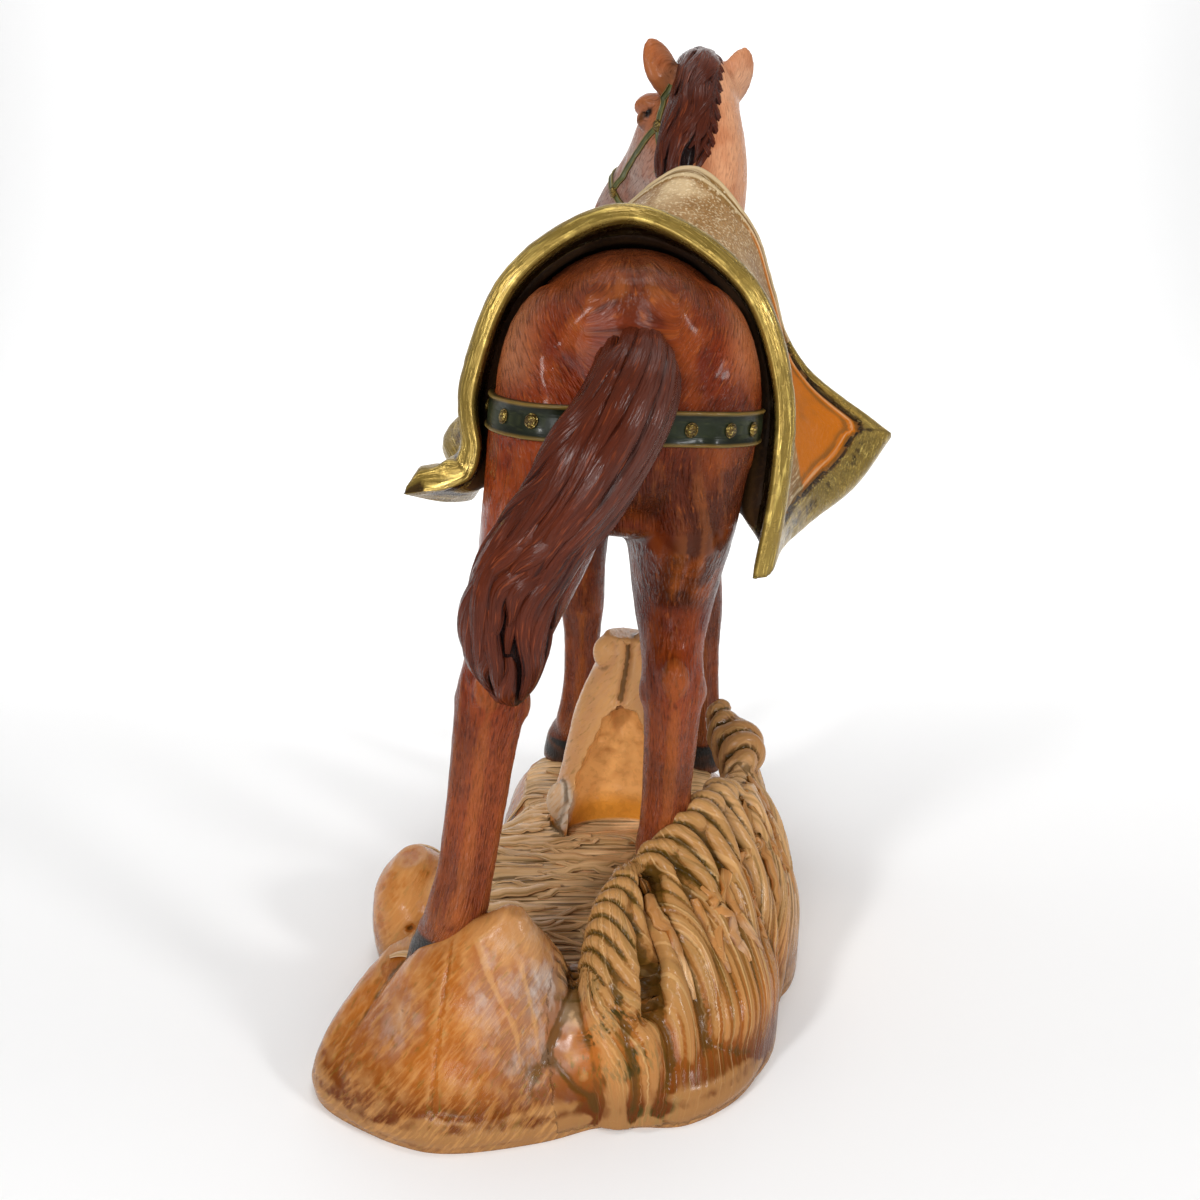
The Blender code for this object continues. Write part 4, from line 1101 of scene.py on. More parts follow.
def bandOnSkin(name, tree, line, halfWidth, thickness, finish, closed=False, inward=None):
    # A moulded strap lying on the skin: its raised edges follow the form under it.
    line = np.asarray(line, float)
    count = len(line)
    along = unit(np.gradient(line, axis=0))
    if closed:
        along = unit(np.roll(line, -1, 0) - np.roll(line, 1, 0))
    ways = np.array([tree.find_nearest(Vector(place))[1] for place in line]) if inward is None else -inward
    for _ in range(6):
        ways[1:-1] = unit(ways[:-2] + 2 * ways[1:-1] + ways[2:])
    across = unit(np.cross(along, ways))
    shares = np.array([-1.04, -1.0, -0.92, -0.82, -0.74, -0.2, 0.2, 0.74, 0.82, 0.92, 1.0, 1.04])
    rises = np.array([0.0, 0.85, 1.25, 1.0, 0.72, 0.78, 0.78, 0.72, 1.0, 1.25, 0.85, 0.0])
    rows = []
    for i in range(count):
        row, lowest = [], []
        for share in shares:
            over = line[i] + across[i] * share * halfWidth + ways[i] * 9
            found = tree.ray_cast(Vector(over), Vector(-ways[i]), 16)[0]
            lowest.append(line[i] + across[i] * share * halfWidth if found is None else np.array(found))
        lowest = np.array(lowest)
        height = (lowest - line[i]) @ ways[i]
        lowest += ways[i] * (np.clip(height, height.max() - 1.2, None) - height)[:, None]
        rows.append(np.vstack([lowest + ways[i] * (rises * thickness)[:, None], (lowest - ways[i] * 0.8)[::-1]]))
    ring = len(rows[0])
    made = facingOut(meshObject(name, np.vstack(rows), ringFaces(count, ring, closed)))
    shareRow = np.r_[np.abs(shares), np.abs(shares)[::-1]]
    lengths = np.r_[0, np.cumsum(np.linalg.norm(np.diff(line, axis=0), axis=1))]
    # Across the band the dark wash lies as painted shade beside the raised edges and where the strap meets the
    # skin, and the dry brushing as painted highlight on the edges' crowns.
    storeValues(
        made, edge=np.tile(ramp(shareRow, 0.78, 0.86), count),
        recess=np.tile(np.interp(shareRow, [0, 0.6, 0.76, 0.92, 1.0, 1.04], [0.0, 0.1, 0.8, -0.8, 0.3, 0.9]),
                       count),
        flow=np.stack([np.tile(shareRow * halfWidth, count), np.repeat(lengths, ring), np.zeros(count * ring)], 1))
    return dressed(made, [finish], "horse")


def studTree(finish):
    # Domed or ringed studs set on points, each turned to its own up.
    tree = bpy.data.node_groups.new("studs", "GeometryNodeTree")
    tree.interface.new_socket("Places", in_out="INPUT", socket_type="NodeSocketGeometry")
    tree.interface.new_socket("Radius", in_out="INPUT", socket_type="NodeSocketFloat").default_value = 0.0024
    tree.interface.new_socket("Studs", in_out="OUTPUT", socket_type="NodeSocketGeometry")
    entry = addNode(tree, "NodeGroupInput").outputs
    dome = addNode(tree, "GeometryNodeMeshUVSphere", {"Segments": 16, "Rings": 8, "Radius": 0.78}).outputs[0]
    rim = addNode(tree, "GeometryNodeCurvePrimitiveCircle", {"Resolution": 18, "Radius": 0.9}).outputs[0]
    bead = addNode(tree, "GeometryNodeCurvePrimitiveCircle", {"Resolution": 6, "Radius": 0.12}).outputs[0]
    rim = addNode(tree, "GeometryNodeCurveToMesh", {"Curve": rim, "Profile Curve": bead}).outputs[0]
    both = addNode(tree, "GeometryNodeJoinGeometry")
    tree.links.new(dome, both.inputs[0])
    tree.links.new(rim, both.inputs[0])
    up = addNode(tree, "GeometryNodeInputNamedAttribute", {"Name": "up"},
                 data_type="FLOAT_VECTOR").outputs["Attribute"]
    turn = addNode(tree, "FunctionNodeAlignRotationToVector", {"Vector": up}, axis="Z").outputs[0]
    size = addNode(tree, "ShaderNodeVectorMath", {0: (1.0, 1.0, 0.5), "Scale": entry["Radius"]},
                   operation="SCALE").outputs[0]
    placed = addNode(tree, "GeometryNodeInstanceOnPoints",
                     {"Points": entry["Places"], "Instance": both.outputs[0], "Rotation": turn, "Scale": size})
    return endTree(tree, placed.outputs[0], finish)


def studs(name, places, ways, radius, finish):
    made = meshObject(name, np.array(places))
    storeValues(made, up=np.array(ways))
    withNodes(made, studTree(finish), Radius=radius * mm)
    points = placesOf(made)
    # Set low, so the studs take the dry brushing as a painted highlight and little of the dark wash.
    storeValues(made, flow=points, recess=recesses(made, 1, 3) * 0.35 - 0.35)
    return dressed(made, [finish], "horse")


def harness():
    look = strapLook
    tree = skinTree(horse)
    green = paintedResin("dark green strap paint", look["strap"])
    olive = paintedResin("olive halter paint", look["halterPaint"])
    gold = blanket.data.materials[1]
    # The breeching, level round the rump from one edge of the blanket to the other.
    line, inward = [], []
    for angle in np.radians(np.linspace(-12, 192, 150)):
        out = Vector((math.cos(angle), math.sin(angle), 0))
        x = -16 + 34 * math.cos(angle)
        middle = Vector((-16, 34, 155.2 + 0.085 * (x + 16)))
        found = tree.ray_cast(middle + out * 90, -out, 90)[0]
        line.append(found)
        inward.append(-out)
    line, inward = np.array(line), np.array(inward)
    radii = np.linalg.norm(line[:, :2] - (-16, 34), axis=1)
    for _ in range(3):
        radii[1:-1] = np.maximum(radii[1:-1], (radii[:-2] + radii[2:]) / 2)
    line[:, :2] = (-16, 34) - inward[:, :2] * radii[:, None]
    bandOnSkin("breeching", tree, line, look["breeching"]["halfHeight"], look["breeching"]["thickness"],
               green, inward=inward)
    places, ways = [], []
    for x in look["studPlaces"]:
        side = line[line[:, 1] > 50]
        pick = side[np.abs(side[:, 0] - x).argmin()]
        out = tree.find_nearest(Vector(pick))[1]
        places.append(pick + np.array(out) * 1.1)
        ways.append(out)
    studs("breechingStuds", places, ways, look["stud"], gold)
    # The halter: crown strap over the cheek, cheek piece, and nose band.
    half, thick = look["halter"]["halfWidth"], look["halter"]["thickness"]
    for side, name in ((1, "Left"), (-1, "Right")):
        for label in ("crown", "cheek"):
            course = [onHead(along, rise, side * across) for along, rise, across in look[label]]
            course = onSkin(tree, smoothRow(course, 12))
            bandOnSkin(label + "Strap" + name, tree, course, half, thick, olive)
    ring = []
    for angle in np.linspace(0, 2 * math.pi, 73)[:-1]:
        start = onHead(55, -8, 0)
        way = cheekWay * math.cos(angle) + browWay * math.sin(angle)
        ring.append(tree.ray_cast(Vector(start + way * 30), Vector(-way), 30)[0])
    bandOnSkin("noseBand", tree, ring, half * 1.1, thick, olive, closed=True)
    spots = [onHead(14.5, -11, side * 17) for side in (1, -1)] + [onHead(55, -7, side * 10) for side in (1, -1)]
    found = [tree.find_nearest(Vector(spot)) for spot in spots]
    places, ways = [np.array(f[0]) + np.array(f[1]) * 0.9 for f in found], [f[1] for f in found]
    studs("halterBuckles", places, ways, look["buckle"], gold)


harness()
print("stage: straps")


# The base.

baseLook = {
    "voxel": 0.86,
    "rounding": 3,
    "triangles": 190000,
    "grooveWidth": 3.3,      # mm between the grooves of the straw
    "combs": ((4, 28), (42, 90), (118, 150)),   # mm along the crest, near to far
    "ribs": ((4.6, 2.0), (6.2, 3.2), (8.4, 3.8)),   # mm apart and deep, near to far
    "ribLean": 13.0,
    "borderStem": 89,
    "grooveDepths": (0.6, 0.9),   # mm, the straw's fine and coarse grooves
    "lyingDepths": (0.9, 0.5),
    "rockSwells": ((0.9, 21), (0.16, 4.5)),   # mm high and wide
    "stems": ((89, 2.9), (37, 2.6), (52, 2.2), (58, 2.6), (66, 2.3), (73, 2.5), (92, 2.6), (98, 2.0),
              (105, 2.2), (113, 2.4)),
    "lyingStraws": 150,
    "paint": {
        "base": "#a86020", "second": "#925019", "patchSize": 40.0,
        # The pale tan and hollow zones also carry painted light; the olive zone carries painted shadow and shade.
        "zones": {"straw": "#8c5e2e", "low": "#5c2904", "hollow": "#ea9f3c", "wood": "#f8cc98",
                  "brown": "#7e4a22", "olive": "#4c3b0c", "brush": "#84776c", "stone": "#cdc0ae"},
        "strokes": [
            {"size": (1.5, 40.0), "third": 30.0, "from": (0.48, 0.66), "amount": 0.75, "tone": "#5a4310",
             "bump": 1.6, "zone": "swept", "detail": 1.0},
            {"size": (1.0, 40.0), "third": 30.0, "from": (0.56, 0.68), "amount": 0.5, "tone": "#d8ae78",
             "bump": 0.5, "zone": "swept", "detail": 1.0},
            {"size": (1.1, 1.1), "third": 4.5, "from": (0.55, 0.68), "amount": 0.75, "tone": "#5f5418",
             "zone": "scratched", "along": "place"},
            {"size": (1.2, 3.5), "third": 30.0, "from": (0.46, 0.58), "amount": 0.95, "tone": "#3c320a",
             "bump": 1.2, "zone": "hatch"},
            {"size": (1.0, 6.0), "from": (0.48, 0.64), "amount": 0.40, "tone": "#c58a4c", "bump": 1.0,
             "zone": "rock", "detail": 3.0},
            {"size": (1.0, 4.0), "from": (0.58, 0.70), "amount": 0.45, "tone": "#6a5018", "zone": "rock"},
            {"size": (4.0, 4.0), "third": 7.0, "from": (0.46, 0.62), "amount": 0.65, "tone": "#d5ccc4",
             "zone": "brush", "along": "place", "bump": 0.5, "detail": 6.0},
            {"size": (3.0, 3.0), "third": 3.0, "from": (0.52, 0.57), "amount": 0.2, "tone": "#8a4f1c",
             "bump": 1.5, "zone": "hollow", "along": "place", "detail": 5.0},
        ],
        "wash": "#4a330c", "washFrom": (0.25, 1.0, 0.72),
        "ridge": "#cf9d62", "ridgeFrom": (-0.2, -0.9, 0.38),
        "roughness": (0.16, 0.29), "varnish": 0.06, "specular": 0.11, "bumpDepth": 0.45,
    },
}

footprint = [
    (73, 83), (73, 95), (65, 106), (45, 118), (30, 121), (8, 117), (-8, 111), (-19, 111), (-32, 110), (-47, 99),
    (-57, 81), (-62, 58), (-67, 38), (-72, 20), (-73, -2), (-70, -30), (-68, -60), (-66, -86), (-54, -106),
    (-30, -116), (-4, -117), (16, -109), (28, -92), (31, -70), (33, -46), (44, -26), (60, -10), (67, 10),
    (63, 30), (51, 46), (58, 62),
]
sideProfile = [(0, 1), (4, 0), (9, 1.5), (14, 5.5), (19, 11), (24, 18), (27.5, 25), (29, 36)]
plateMiddle = (-4, 8)
rocks = [
    [(30, 90, -32, 42, 29), (28, 90, -22, 38.5, 29), (25, 90, -7, 28, 25), (20.5, 93, 8, 21, 18),
     (17, 97, 20, 11.5, 9), (14.6, 98, 29, 3, 3)],
    [(52, 22, -32, 14, 22), (53, 22, -14, 15, 23), (54, 22, -2, 12, 19), (55, 22, 6, 5, 9)],
    [(-36, 60, -32, 26, 38), (-35, 59, -10, 27, 37), (-34, 60, 6, 19, 25), (-33, 62, 16, 10, 10)],
    [(-58, 14, -32, 17, 40), (-58, 14, -8, 17, 38), (-57, 10, 10, 10, 32), (-56, 4, 24, 4, 22)],
]
crest = [(-6, 92, 8), (-9, 85, 20), (-14, 76, 26), (-20, 67, 26), (-27, 60, 30), (-38, 50, 36.5), (-47, 33, 36),
         (-52, 20, 30), (-54, 6, 31), (-51, -10, 38), (-52, -26, 43)]
bend = [(-6, 100, -4), (-12, 96, 2), (-20, 88, 6), (-28, 79, 8), (-36, 73, 9), (-46, 62, 9), (-56, 45, 9),
        (-62, 32, 9), (-64, 16, 11), (-61, -4, 14), (-59, -26, 20)]
strawFoot = [(-8, 106, -29), (-16, 106, -29), (-26, 104, -29), (-35, 98, -29), (-42, 90, -29), (-48, 78, -29),
             (-54, 59, -29), (-60, 42, -29), (-66, 18, -29), (-67, -6, -29), (-64, -32, -29)]
blades = 12
bladeCurl = 5.0
stumpFoot = (-13, -17)
stumpHeight = 71.5


def plateShape():
    outline = smoothRow([(*p, 0) for p in footprint + footprint[:1]], 6)[:-1]
    middle = np.array([*plateMiddle, 0])
    loops = []
    for height, inset in [(-8, 1.5)] + sideProfile:
        way = unit(middle - outline)
        loops.append((outline + way * inset) * (1, 1, 0) + (0, 0, height - groundHeight))
    count = len(outline)
    points = np.vstack(loops + [[loops[0].mean(0)], [loops[-1].mean(0)]])
    faces = ringFaces(len(loops), count)[:-2]
    top = (len(loops) - 1) * count
    for k in range(count):
        n = (k + 1) % count
        faces.append((n, k, len(points) - 2))
        faces.append((top + k, top + n, len(points) - 1))
    return points, faces


def strawLines(spans=10):
    lines = [smoothRow(line, spans) for line in (crest, bend, strawFoot)]
    lengths = np.r_[0, np.cumsum(np.linalg.norm(np.diff(lines[0], axis=0), axis=1))]
    return lines, lengths


def courseAt(lines, lengths, reach):
    # The places on crest, bend and foot so far along the crest.
    return [np.array([np.interp(reach, lengths, line[:, axis]) for axis in range(3)]) for line in lines]


def strawShapes():
    lines, lengths = strawLines()
    shapes = []
    for blade in range(blades):
        reach = lengths[-1] * (blade + 0.5) / blades
        top, mid, low = courseAt(lines, lengths, reach)
        inward = unit((top - mid) * (1, 1, 0))
        curl = inward * bladeCurl
        tip = top + curl + (0, 0, -bladeCurl * 0.8)
        wide = lengths[-1] / blades * 0.46
        stations = [
            (*tip, 1.2, 1.0), (*(top + curl * 0.4), wide * 0.75, 2.4),
            (*(top - curl * 0.5 + (0, 0, -4)), wide * 0.95, 4),
            (*mid, wide * 1.05, 7), (*((mid + low) / 2 + (-1.5, 1.5, 0)), wide * 1.3, 8), (*low, wide * 1.2, 8),
        ]
        beside = courseAt(lines, lengths, reach + 1)[0]
        shapes.append(loftShape(stations, side=beside - top, sides=16, steps=5))
    return shapes


def stumpShapes():
    x, y = stumpFoot
    outside = loftShape(
        [(x, y, -10, 25, 19), (x, y, 4, 23, 18), (x - 1, y, 24, 19.5, 15), (x - 2, y - 1, 44, 15, 12),
         (x - 4, y - 1, 60, 10.5, 10), (x - 5, y - 1, stumpHeight, 8, 8)], sides=40, steps=6)
    hollow = loftShape(
        [(x - 1, y + 12, 1, 18, 12.5), (x - 1, y + 11, 16, 15.5, 11), (x - 2, y + 9.5, 32, 11.5, 8.5),
         (x - 2.5, y + 8, 43, 7, 6), (x - 2, y + 7.5, 48, 2, 3)], sides=64, steps=12)
    points = hollow[0]
    around = (points - (x - 2, y + 8, 20)) * (1, 1, 0.25)
    points += (unit(around) * (2.2 * cloudy(points, 8.0, 91) + 1.1 * cloudy(points, 2.8, 93))[:, None]
               * ramp(points[:, 2], 3, 12)[:, None])
    return outside, (points, hollow[1])


def cutAway(made, name, shape):
    # A closed shape taken out of the piece.
    cutter = facingOut(meshObject(name, *shape))
    cut = made.modifiers.new(name, "BOOLEAN")
    cut.operation = "DIFFERENCE"
    cut.solver = "EXACT"
    cut.object = cutter
    applied(made)
    bpy.data.objects.remove(cutter)


def flowGrid():
    # Places on the straw's outer face with how far along the crest and how far down each one lies.
    lines, lengths = strawLines(14)
    top, mid, low = lines
    inward = unit((top - mid) * (1, 1, 0)) * bladeCurl
    courses = [top + inward + (0, 0, -bladeCurl * 0.8), top, mid - inward, low - inward]
    courses = smoothRow(np.array(courses).reshape(4, -1), 14).reshape(-1, len(top), 3)
    return courses, lengths, np.linspace(-1, 2, len(courses))


def onFlow(points, chosen):
    # How far along and down the straw each chosen place lies, and its distance from it.
    courses, lengths, down = flowGrid()
    places, columns = courses.reshape(-1, 3), len(lengths)
    alongs = np.gradient(courses, lengths, axis=1).reshape(-1, 3)
    downs = np.gradient(courses, down, axis=0).reshape(-1, 3)
    finder = KDTree(len(places))
    for i, place in enumerate(places):
        finder.insert(place, i)
    finder.balance()
    s, t, gap = np.zeros(len(points)), np.ones(len(points)), np.full(len(points), 99.0)
    found = [finder.find(points[i])[1:] for i in chosen]
    near, away = np.array([f[0] for f in found]), np.array([f[1] for f in found])
    # From the nearest crossing of the grid, the rest of the way along its two directions.
    rest, a, d = points[chosen] - places[near], alongs[near], downs[near]
    aa, dd, ad = (a * a).sum(1), (d * d).sum(1), (a * d).sum(1)
    ra, rd, scale = (rest * a).sum(1), (rest * d).sum(1), aa * dd - ad * ad
    s[chosen] = lengths[near % columns] + np.clip((ra * dd - rd * ad) / scale, -1.5, 1.5)
    t[chosen] = down[near // columns] + np.clip((rd * aa - ra * ad) / scale, -0.08, 0.08)
    gap[chosen] = away
    return s, t, gap


def strawPlaces(made, points):
    # How far along and down the straw the places lie and how far off it they are, drawn smooth.
    nearWall = np.flatnonzero((points[:, 0] < 8) & (points[:, 1] > -50) & (points[:, 2] > -28.9))
    return smoothedOver(made, np.stack(onFlow(points, nearWall), 1), 3).T


def swayed(s, t):
    # The straw bends to and fro on its way down.
    return s + 6.5 * np.sin(t * 2.6 + s / 30) + 2.2 * noise(np.stack([s / 21, t * 1.1, 0 * s], -1), 4)


def swellShare(points):
    # The smooth swell between the boulder and the straw, and the smooth foot below.
    return np.maximum(ramp(np.linalg.norm(points - (3, 104, -12), axis=1), 19, 11),
                      ramp(points[:, 2], -14, -24) * 0.8)


def combRibs(s, t, gap):
    # The crest's combs: where they are, their ribs (1 on a rib, 0 in the slot beside it) and how deep the slots go.
    ends = ramp(t, 0.74, 0.64) * ramp(gap, 13, 9)
    share, ribs, deep = np.zeros(len(s)), np.ones(len(s)), np.zeros(len(s))
    for (low, high), (spacing, depth) in zip(baseLook["combs"], baseLook["ribs"]):
        lean = s - baseLook["ribLean"] * t
        here = ramp(lean, low - 5, low - 4) * ramp(lean, high + 2, high + 1) * ends
        share = np.maximum(share, here)
        ribs = np.where(here > 0, ridged(lean / spacing), ribs)
        deep = np.maximum(deep, here * depth)
    return share, ribs, deep


def ridged(values):
    # Rounded ridges with narrow grooves between them, one to a unit: 0 in the groove, 1 on the ridge.
    return np.sqrt(np.abs(np.sin(values * math.pi)))


def groundBase():
    look = baseLook
    stumpOutside, stumpHollow = stumpShapes()
    shapes = ([plateShape()] + [loftShape(rock, sides=40, steps=6) for rock in rocks]
              + strawShapes() + [stumpOutside])
    shapes.append(lumpShape((-57, -8, 33), (8.5, 15, 9)))                                   # far tuft of the crest
    shapes.append(loftShape([(x, y, z - 2.5, 4.2, 4.2) for x, y, z in crest], side=(0, 0, 1), sides=20, steps=6))
    # Swell between boulder and straw.
    shapes.append(lumpShape((-8, 88, -20), (30, 22.5, 24)))
    x, y = stumpFoot
    # Two lobes on the stump's top.
    shapes.append(lumpShape((x - 11, y + 2, stumpHeight - 3.5), (5.0, 5.5, 5.5)))
    shapes.append(lumpShape((x + 1.5, y + 2, stumpHeight - 6), (6.0, 5.5, 6.5)))
    # Stone leaning on the stump.
    shapes.append(lumpShape((7, -9.5, 11.5), (4.4, 3.4, 7.5), 20))
    made = fused("groundBase", shapes, look["voxel"], look["rounding"])
    cutAway(made, "stump hollow", stumpHollow)
    points, ways = placesOf(made), normalsOf(made)
    x, y, z = points.T
    # Straw: grooves that follow the sweep from the crest to the foot.
    s, t, gap = strawPlaces(made, points)
    wall = ramp(gap, 13, 7) * (1 - swellShare(points))
    sway = swayed(s, t)
    main = ridged(sway / look["grooveWidth"] + 0.5 * noise(np.stack([sway / 12, t, 0 * s], 1), 9)) - 0.8
    large = ridged(sway / 11.3 + 0.2) - 0.8
    patches = ramp(cloudy(np.stack([sway / 15, t * 1.6, 0 * s], 1), 1.0, 6), -0.45, 0.25)
    lowSide = ramp(t, 1.25, 1.85)
    combs, ribs, deep = combRibs(s, t, gap)
    fine, coarse = look["grooveDepths"]
    depth = (wall * (1 - combs) * (large * (coarse - 0.8 * lowSide)
                                   + fine * main * (0.2 + 0.8 * patches) * (1 - 0.8 * lowSide)))
    depth += deep * (ribs - 0.75)
    # Boulders: soft swells; trough: strands lying across.
    trough = (ramp(z, 6, 1) * ramp(x, -42, -30) * ramp(x, 48, 40) * ramp(y, 96, 84)
              * ramp(ways[:, 2], 0.5, 0.85) * (1 - wall))
    lying = np.stack([x / 26, y / 2.2 + 0.4 * noise(points / 20, 8), z / 9], 1)
    broad, thin = look["lyingDepths"]
    depth += trough * (broad * noise(lying, 31) + thin * noise(lying * (1.4, 2.3, 1), 37))
    rock = (1 - wall) * (1 - trough)
    (high, wide), (low, narrow) = look["rockSwells"]
    depth += rock * (high * cloudy(points, wide, 41) + low * cloudy(points, narrow, 43)) * ramp(z, -28.5, -24)
    tree = skinTree(made)
    cuts = [
        # Crack in the near boulder.
        ([(30.9, 98, 20), (32.9, 106, 10), (34.4, 112, -4), (36, 119, -22)], 0.55, 0.35),
        # Crevice by the near tuft.
        ([(-22, 66, 27), (-23.5, 76, 22), (-23.3, 87, 13.5), (-21, 94, 4), (-17, 100, -4)], 2.9, 7.0),
        ([(-30, 66, 26), (-33, 72, 16), (-36, 76, 4)], 1.6, 1.6),
        ([(24, 100, 24), (20, 106, 12), (15, 108, 0), (13, 111, -14)], 0.9, -0.3),
        ([(14, 103, 18), (10, 106, 4), (7, 109, -12)], 0.9, -0.3),
        ([(54, 43, -9), (50, 52, -5), (44.4, 58, 0)], 1.1, 1.4),                              # slot in the far lobe
        # Crack in the stump's top.
        ([(-17.5, -12, 76), (-17.5, -6, 66), (-16, -5, 56), (-15, -6, 49)], 1.5, 2.8),
    ]
    depth += carved(points, ways, tree, cuts)
    points = points + ways * depth[:, None]
    setPlaces(made, points)
    # Flat underside.
    bm = bmesh.new()
    bm.from_mesh(made.data)
    cut = bmesh.ops.bisect_plane(bm, geom=bm.verts[:] + bm.edges[:] + bm.faces[:],
                                 plane_co=(0, 0, 0), plane_no=(0, 0, -1),
                                 clear_outer=True, dist=1e-7)
    bmesh.ops.contextual_create(bm, geom=[e for e in cut["geom_cut"] if isinstance(e, bmesh.types.BMEdge)])
    bm.to_mesh(made.data)
    bm.free()
    thinned(made, look["triangles"])
    points, ways = placesOf(made), normalsOf(made)
    x, y, z = points.T
    fromAxis = unit((points - (-14, -14, 0)) * (1, 1, 0))
    inHollow = (ramp(np.linalg.norm((points - (-14, -8, 18)) / (1, 1, 2.0), axis=1), 21, 17) * (z > -1)
                * ramp((fromAxis * ways).sum(1), 0.25, -0.05))
    # Less of the wash's painted shade inside the stump's hollow.
    storeValues(made, recess=recesses(made, 3, 20) * (1 - 0.8 * inHollow))
    reachOf, dropOf, gap = strawPlaces(made, points)
    wallFlow = np.stack([swayed(reachOf, dropOf), dropOf * 22, 0 * gap], 1)
    trough = ramp(z, 5, 0) * ramp(z, -4, -1) * ramp(ways[:, 2], 0.4, 0.7) * ramp(x, 50, 44)
    lying = np.stack([y, x, z * 0.2], 1)
    brushed = np.stack([x * 0.75 + z * 0.66, z * 0.75 - x * 0.66, y * 0.2 + 90], 1)
    flow = np.where((gap < 12)[:, None], wallFlow, np.where((trough > 0.3)[:, None], lying, brushed))
    storeValues(made, flow=flow)
    wall = ramp(gap, 12, 7) * (1 - swellShare(points))
    trough = trough * (1 - wall)
    storeValues(
        made, straw=np.clip(wall * ramp(z, -16, 8), 0, 1),
        low=ramp(z, -6, -24),
        swept=np.clip(wall + ramp(trough, 0.3, 0.6), 0, 1),
        rock=np.clip((1 - wall * 4) * ramp(trough, 0.3, 0.1) * (gap > 12.2), 0, 1) * (1 - inHollow))
    bands = ramp(np.sin(z / 2.6 + x / 9), 0.2, 0.8) * swellShare(points) * ramp(z, -22, -14)
    storeValues(made, scratched=np.clip(ramp(z, -6, -16) * ramp(cloudy(points, 18, 53), -0.1, 0.35) * (1 - wall)
                                        + bands, 0, 1))
    combs, ribs, _ = combRibs(reachOf, dropOf, gap)
    # The olive zone: painted shadow in patches on the trough under the horse, and painted shade in the slots
    # between the comb ribs.
    slots = combs * ramp(ribs, 0.80, 0.35)
    # The hollow's inside keeps its own golden colour, made brighter as painted light.
    storeValues(
        made, brown=combs * (reachOf > 110) * 0.75,
        olive=np.clip(trough * (0.12 + 0.3 * noise(points / 9, 51)) + slots * 0.9, 0, 1),
        hollow=inHollow * 0.75)
    # Paler tan: the stump's own colour, with painted light on the trough under the horse and on the straw wall's
    # lit front part.
    stump = 0.8 * ramp(z, 6, 14) * ramp(np.linalg.norm(points[:, :2] - stumpFoot, axis=1), 34, 28)
    farWall = wall * ramp(y, 62, 25) * 0.5
    storeValues(made, wood=np.clip(stump * 0.4 + trough + farWall, 0, 1))
    stone = ramp(np.linalg.norm((points - (7, -7, 11.5)) / (1, 1, 1.5), axis=1), 8, 5)
    storeValues(made, stone=stone * 0.85)
    gapToValley = nearLine(points, smoothRow([(-5, 100, 6), (-13, 107, -4), (-21, 110, -20)], 20), 16)[0]
    storeValues(made, hatch=ramp(gapToValley, 12, 5) * ramp(np.sin(dropOf * 14), -0.3, 0.4) * (1 - combs))
    brush = (ramp(np.linalg.norm((points - (12, 104, 4)) / (1, 1, 1.7), axis=1), 20, 8)
             + 0.7 * ramp(np.linalg.norm(points - (50, 106, 2), axis=1), 14, 5))
    storeValues(made, brush=np.clip(brush * (0.55 + 0.6 * cloudy(points, 9, 61)), 0, 1) * 0.75)
    finish = paintedResin("ochre earth paint, washed and dry brushed", look["paint"])
    return dressed(made, [finish], "base")


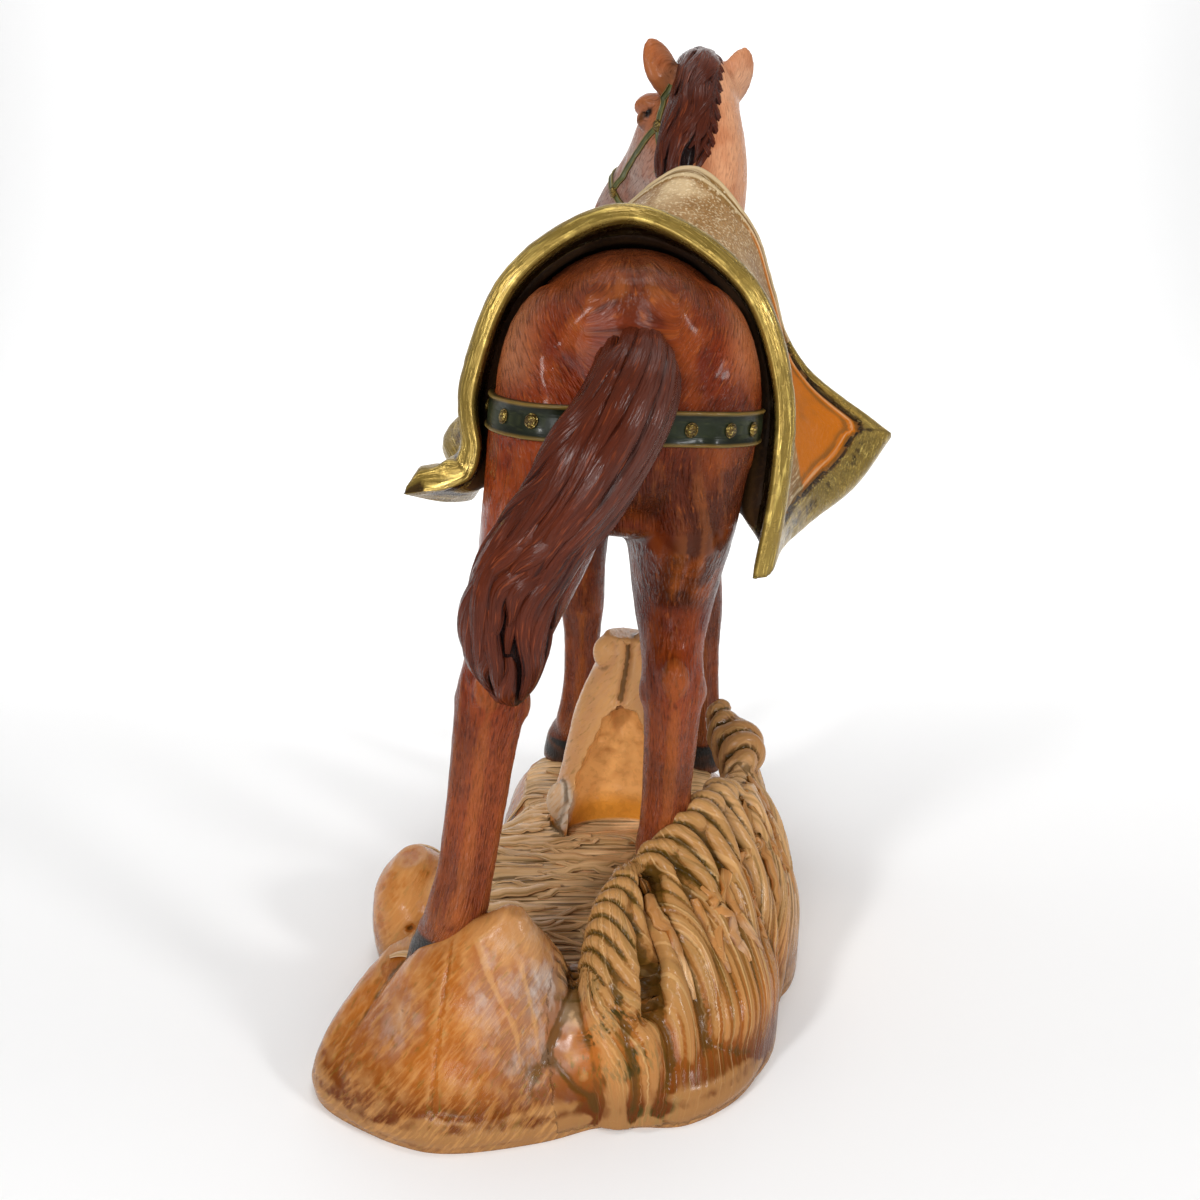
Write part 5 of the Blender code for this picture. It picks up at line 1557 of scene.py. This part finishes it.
def baseStraws():
    look = baseLook
    rng = np.random.default_rng(11)
    tree = skinTree(base)
    finish = base.data.materials[0]
    lines, lengths = strawLines()
    swept, stems = [], []
    for reach, width in look["stems"]:
        course = []
        # One smooth stem borders the ribs; the others start below them and sweep down.
        inComb = any(low < reach < high for low, high in look["combs"])
        start = 0.62 if inComb else 0.1
        for t in np.linspace(start, 1.35, 22):
            where = reach - 3.0 * math.sin(t * 2.3)
            if reach == look["borderStem"]:
                where, t = reach - 50 * ramp((t - start) / 1.0, 0, 1), 0.62 + 0.6 * ramp(t, start + 0.5, 1.35)
            top, mid, low = courseAt(lines, lengths, where)
            spot = top + (mid - top) * t if t < 1 else mid + (low - mid) * (t - 1)
            course.append(spot + unit((mid - top) * (1, 1, 0)) * 3)
        found = [tree.find_nearest(Vector(p)) for p in course]
        course, ups = np.array([f[0] for f in found]), unit(np.array([f[1] for f in found]))
        for _ in range(5):
            course[1:-1] = (course[:-2] + 2 * course[1:-1] + course[2:]) / 4
        t = np.linspace(0, 1, len(course))
        stems.append((course + ups * 0.3, width * np.sin(math.pi * (0.12 + 0.85 * t)) ** 0.5, ups))
    for i in range(look["lyingStraws"]):
        x, y = rng.uniform(-34, 46), rng.uniform(-66, 84)
        heading, length = math.radians(rng.normal(4, 13)), rng.uniform(18, 42)
        bow = rng.normal(0, 3.0)
        course, ups = [], []
        for t in np.linspace(-0.5, 0.5, 16):
            spot = Vector((x + math.cos(heading) * length * t,
                           y + math.sin(heading) * length * t + bow * (4 * t * t - 1)
                           + 0.5 * math.sin(t * 17 + i), 60))
            found, normal, _, _ = tree.ray_cast(spot, Vector((0, 0, -1)), 90)
            if found is None or found.z > 7 or found.z < -12:
                continue
            course.append(np.array(found))
            ups.append(np.array(normal))
        if (len(course) < 8 or np.abs(np.diff(np.array(course)[:, 2])).max() > 2.2
            or np.linalg.norm(np.diff(course, axis=0), axis=1).max() > 5):
            continue
        course, ups = np.array(course), unit(np.array(ups) + (0, 0, 1))
        t = np.linspace(0, 1, len(course))
        width = rng.choice([1.1, 1.6, 2.3, 3.1], p=[0.25, 0.35, 0.28, 0.12])
        swept.append((course + ups * (0.35 + 0.5 * rng.random()),
                      width * np.sin(math.pi * (0.08 + 0.86 * t)) ** 0.5, ups))
    straws = strands("sweptStraws", swept, finish,
                     **{"Sides": 12, "Flatness": 0.42, "Flutes": 5.0, "Flute depth": 0.1})
    smooth = strands("smoothStems", stems, finish,
                     **{"Sides": 20, "Flatness": 0.6, "Flutes": 7.0, "Flute depth": 0.03})
    for piece in (straws, smooth):
        points = placesOf(piece)
        # Painted light on the straws that lie in the trough under the horse.
        storeValues(
            piece, straw=np.full(len(points), 1.0 if piece == straws else 0.35),
            wood=ramp(points[:, 2], 9, 6) * ramp(points[:, 0], -38, -30) * 0.95,
            swept=np.ones(len(points)),
            brush=0.35 * ramp(cloudy(points, 12, 71), 0.15, 0.5))
        dressed(piece, [finish], "base")


base = groundBase()
print("stage: base,", len(base.data.vertices), "vertices")
baseStraws()
print("stage: straws")


# Floor, light and camera.


studioLook = {
    "paper": 0.92,
    "room": 0.34,              # strength of the even light from all round
    "lamps": {                 # place in metres, size and power
        "key": ((0.60, 0.85, 0.68), 0.15, 5.2),
        "fill": ((-0.80, 0.65, 0.52), 0.15, 4.0),
        "low": ((0.15, 1.0, 0.30), 0.30, 3.0),
        "top": ((-0.1, 0.0, 1.2), 0.4, 2.6),
        "backdrop": ((0.0, -0.75, 1.3), 1.6, 26.0),
    },
    "figureMiddle": (0, 0, 0.14),
    "backdropMiddle": (0, -2.0, 0.5),
    "camera": (-0.008, 0.380, 0.218),
    "cameraTilt": 14.8,        # degrees below level
    "lens": 1178 / 1200 * 36,  # mm on a 36 mm sensor
}


def studio():
    look = studioLook
    scene = bpy.context.scene
    # Paper that runs from in front of the figure to behind it and curves up.
    turn = np.linspace(0, math.pi / 2, 24)
    profile = [(3.0, 0.0)] + [(-1.2 - 0.9 * math.sin(a), 0.9 - 0.9 * math.cos(a)) for a in turn] + [(-2.1, 4.0)]
    corners = [(x, y, z) for y, z in profile for x in (-5, 5)]
    floorMesh = bpy.data.meshes.new("floor")
    floorMesh.from_pydata(corners, [], [(2 * i, 2 * i + 1, 2 * i + 3, 2 * i + 2) for i in range(len(profile) - 1)])
    floorMesh.shade_smooth()
    paper = bpy.data.materials.new("white paper")
    paper.use_nodes = True
    shader = paper.node_tree.nodes["Principled BSDF"]
    shader.inputs["Base Color"].default_value = (*[look["paper"]] * 3, 1)
    shader.inputs["Roughness"].default_value = 0.9
    floorMesh.materials.append(paper)
    linked(bpy.data.objects.new("floor", floorMesh))
    world = bpy.data.worlds.new("soft room")
    world.use_nodes = True
    world.node_tree.nodes["Background"].inputs["Color"].default_value = (1, 1, 1, 1)
    world.node_tree.nodes["Background"].inputs["Strength"].default_value = look["room"]
    scene.world = world
    for name, (place, size, power) in look["lamps"].items():
        lamp = bpy.data.lights.new(name, "AREA")
        lamp.size = size
        lamp.energy = power
        holder = linked(bpy.data.objects.new(name, lamp))
        holder.location = place
        aim = Vector(look["backdropMiddle" if name == "backdrop" else "figureMiddle"])
        holder.rotation_euler = (aim - Vector(place)).to_track_quat("-Z", "Y").to_euler()
    camera = bpy.data.cameras.new("camera")
    camera.sensor_width = 36
    camera.lens = look["lens"]
    scene.camera = linked(bpy.data.objects.new("camera", camera))
    scene.camera.location = look["camera"]
    scene.camera.rotation_euler = (math.radians(90 - look["cameraTilt"]), 0, math.radians(180))
    scene.view_settings.view_transform = "Standard"


studio()
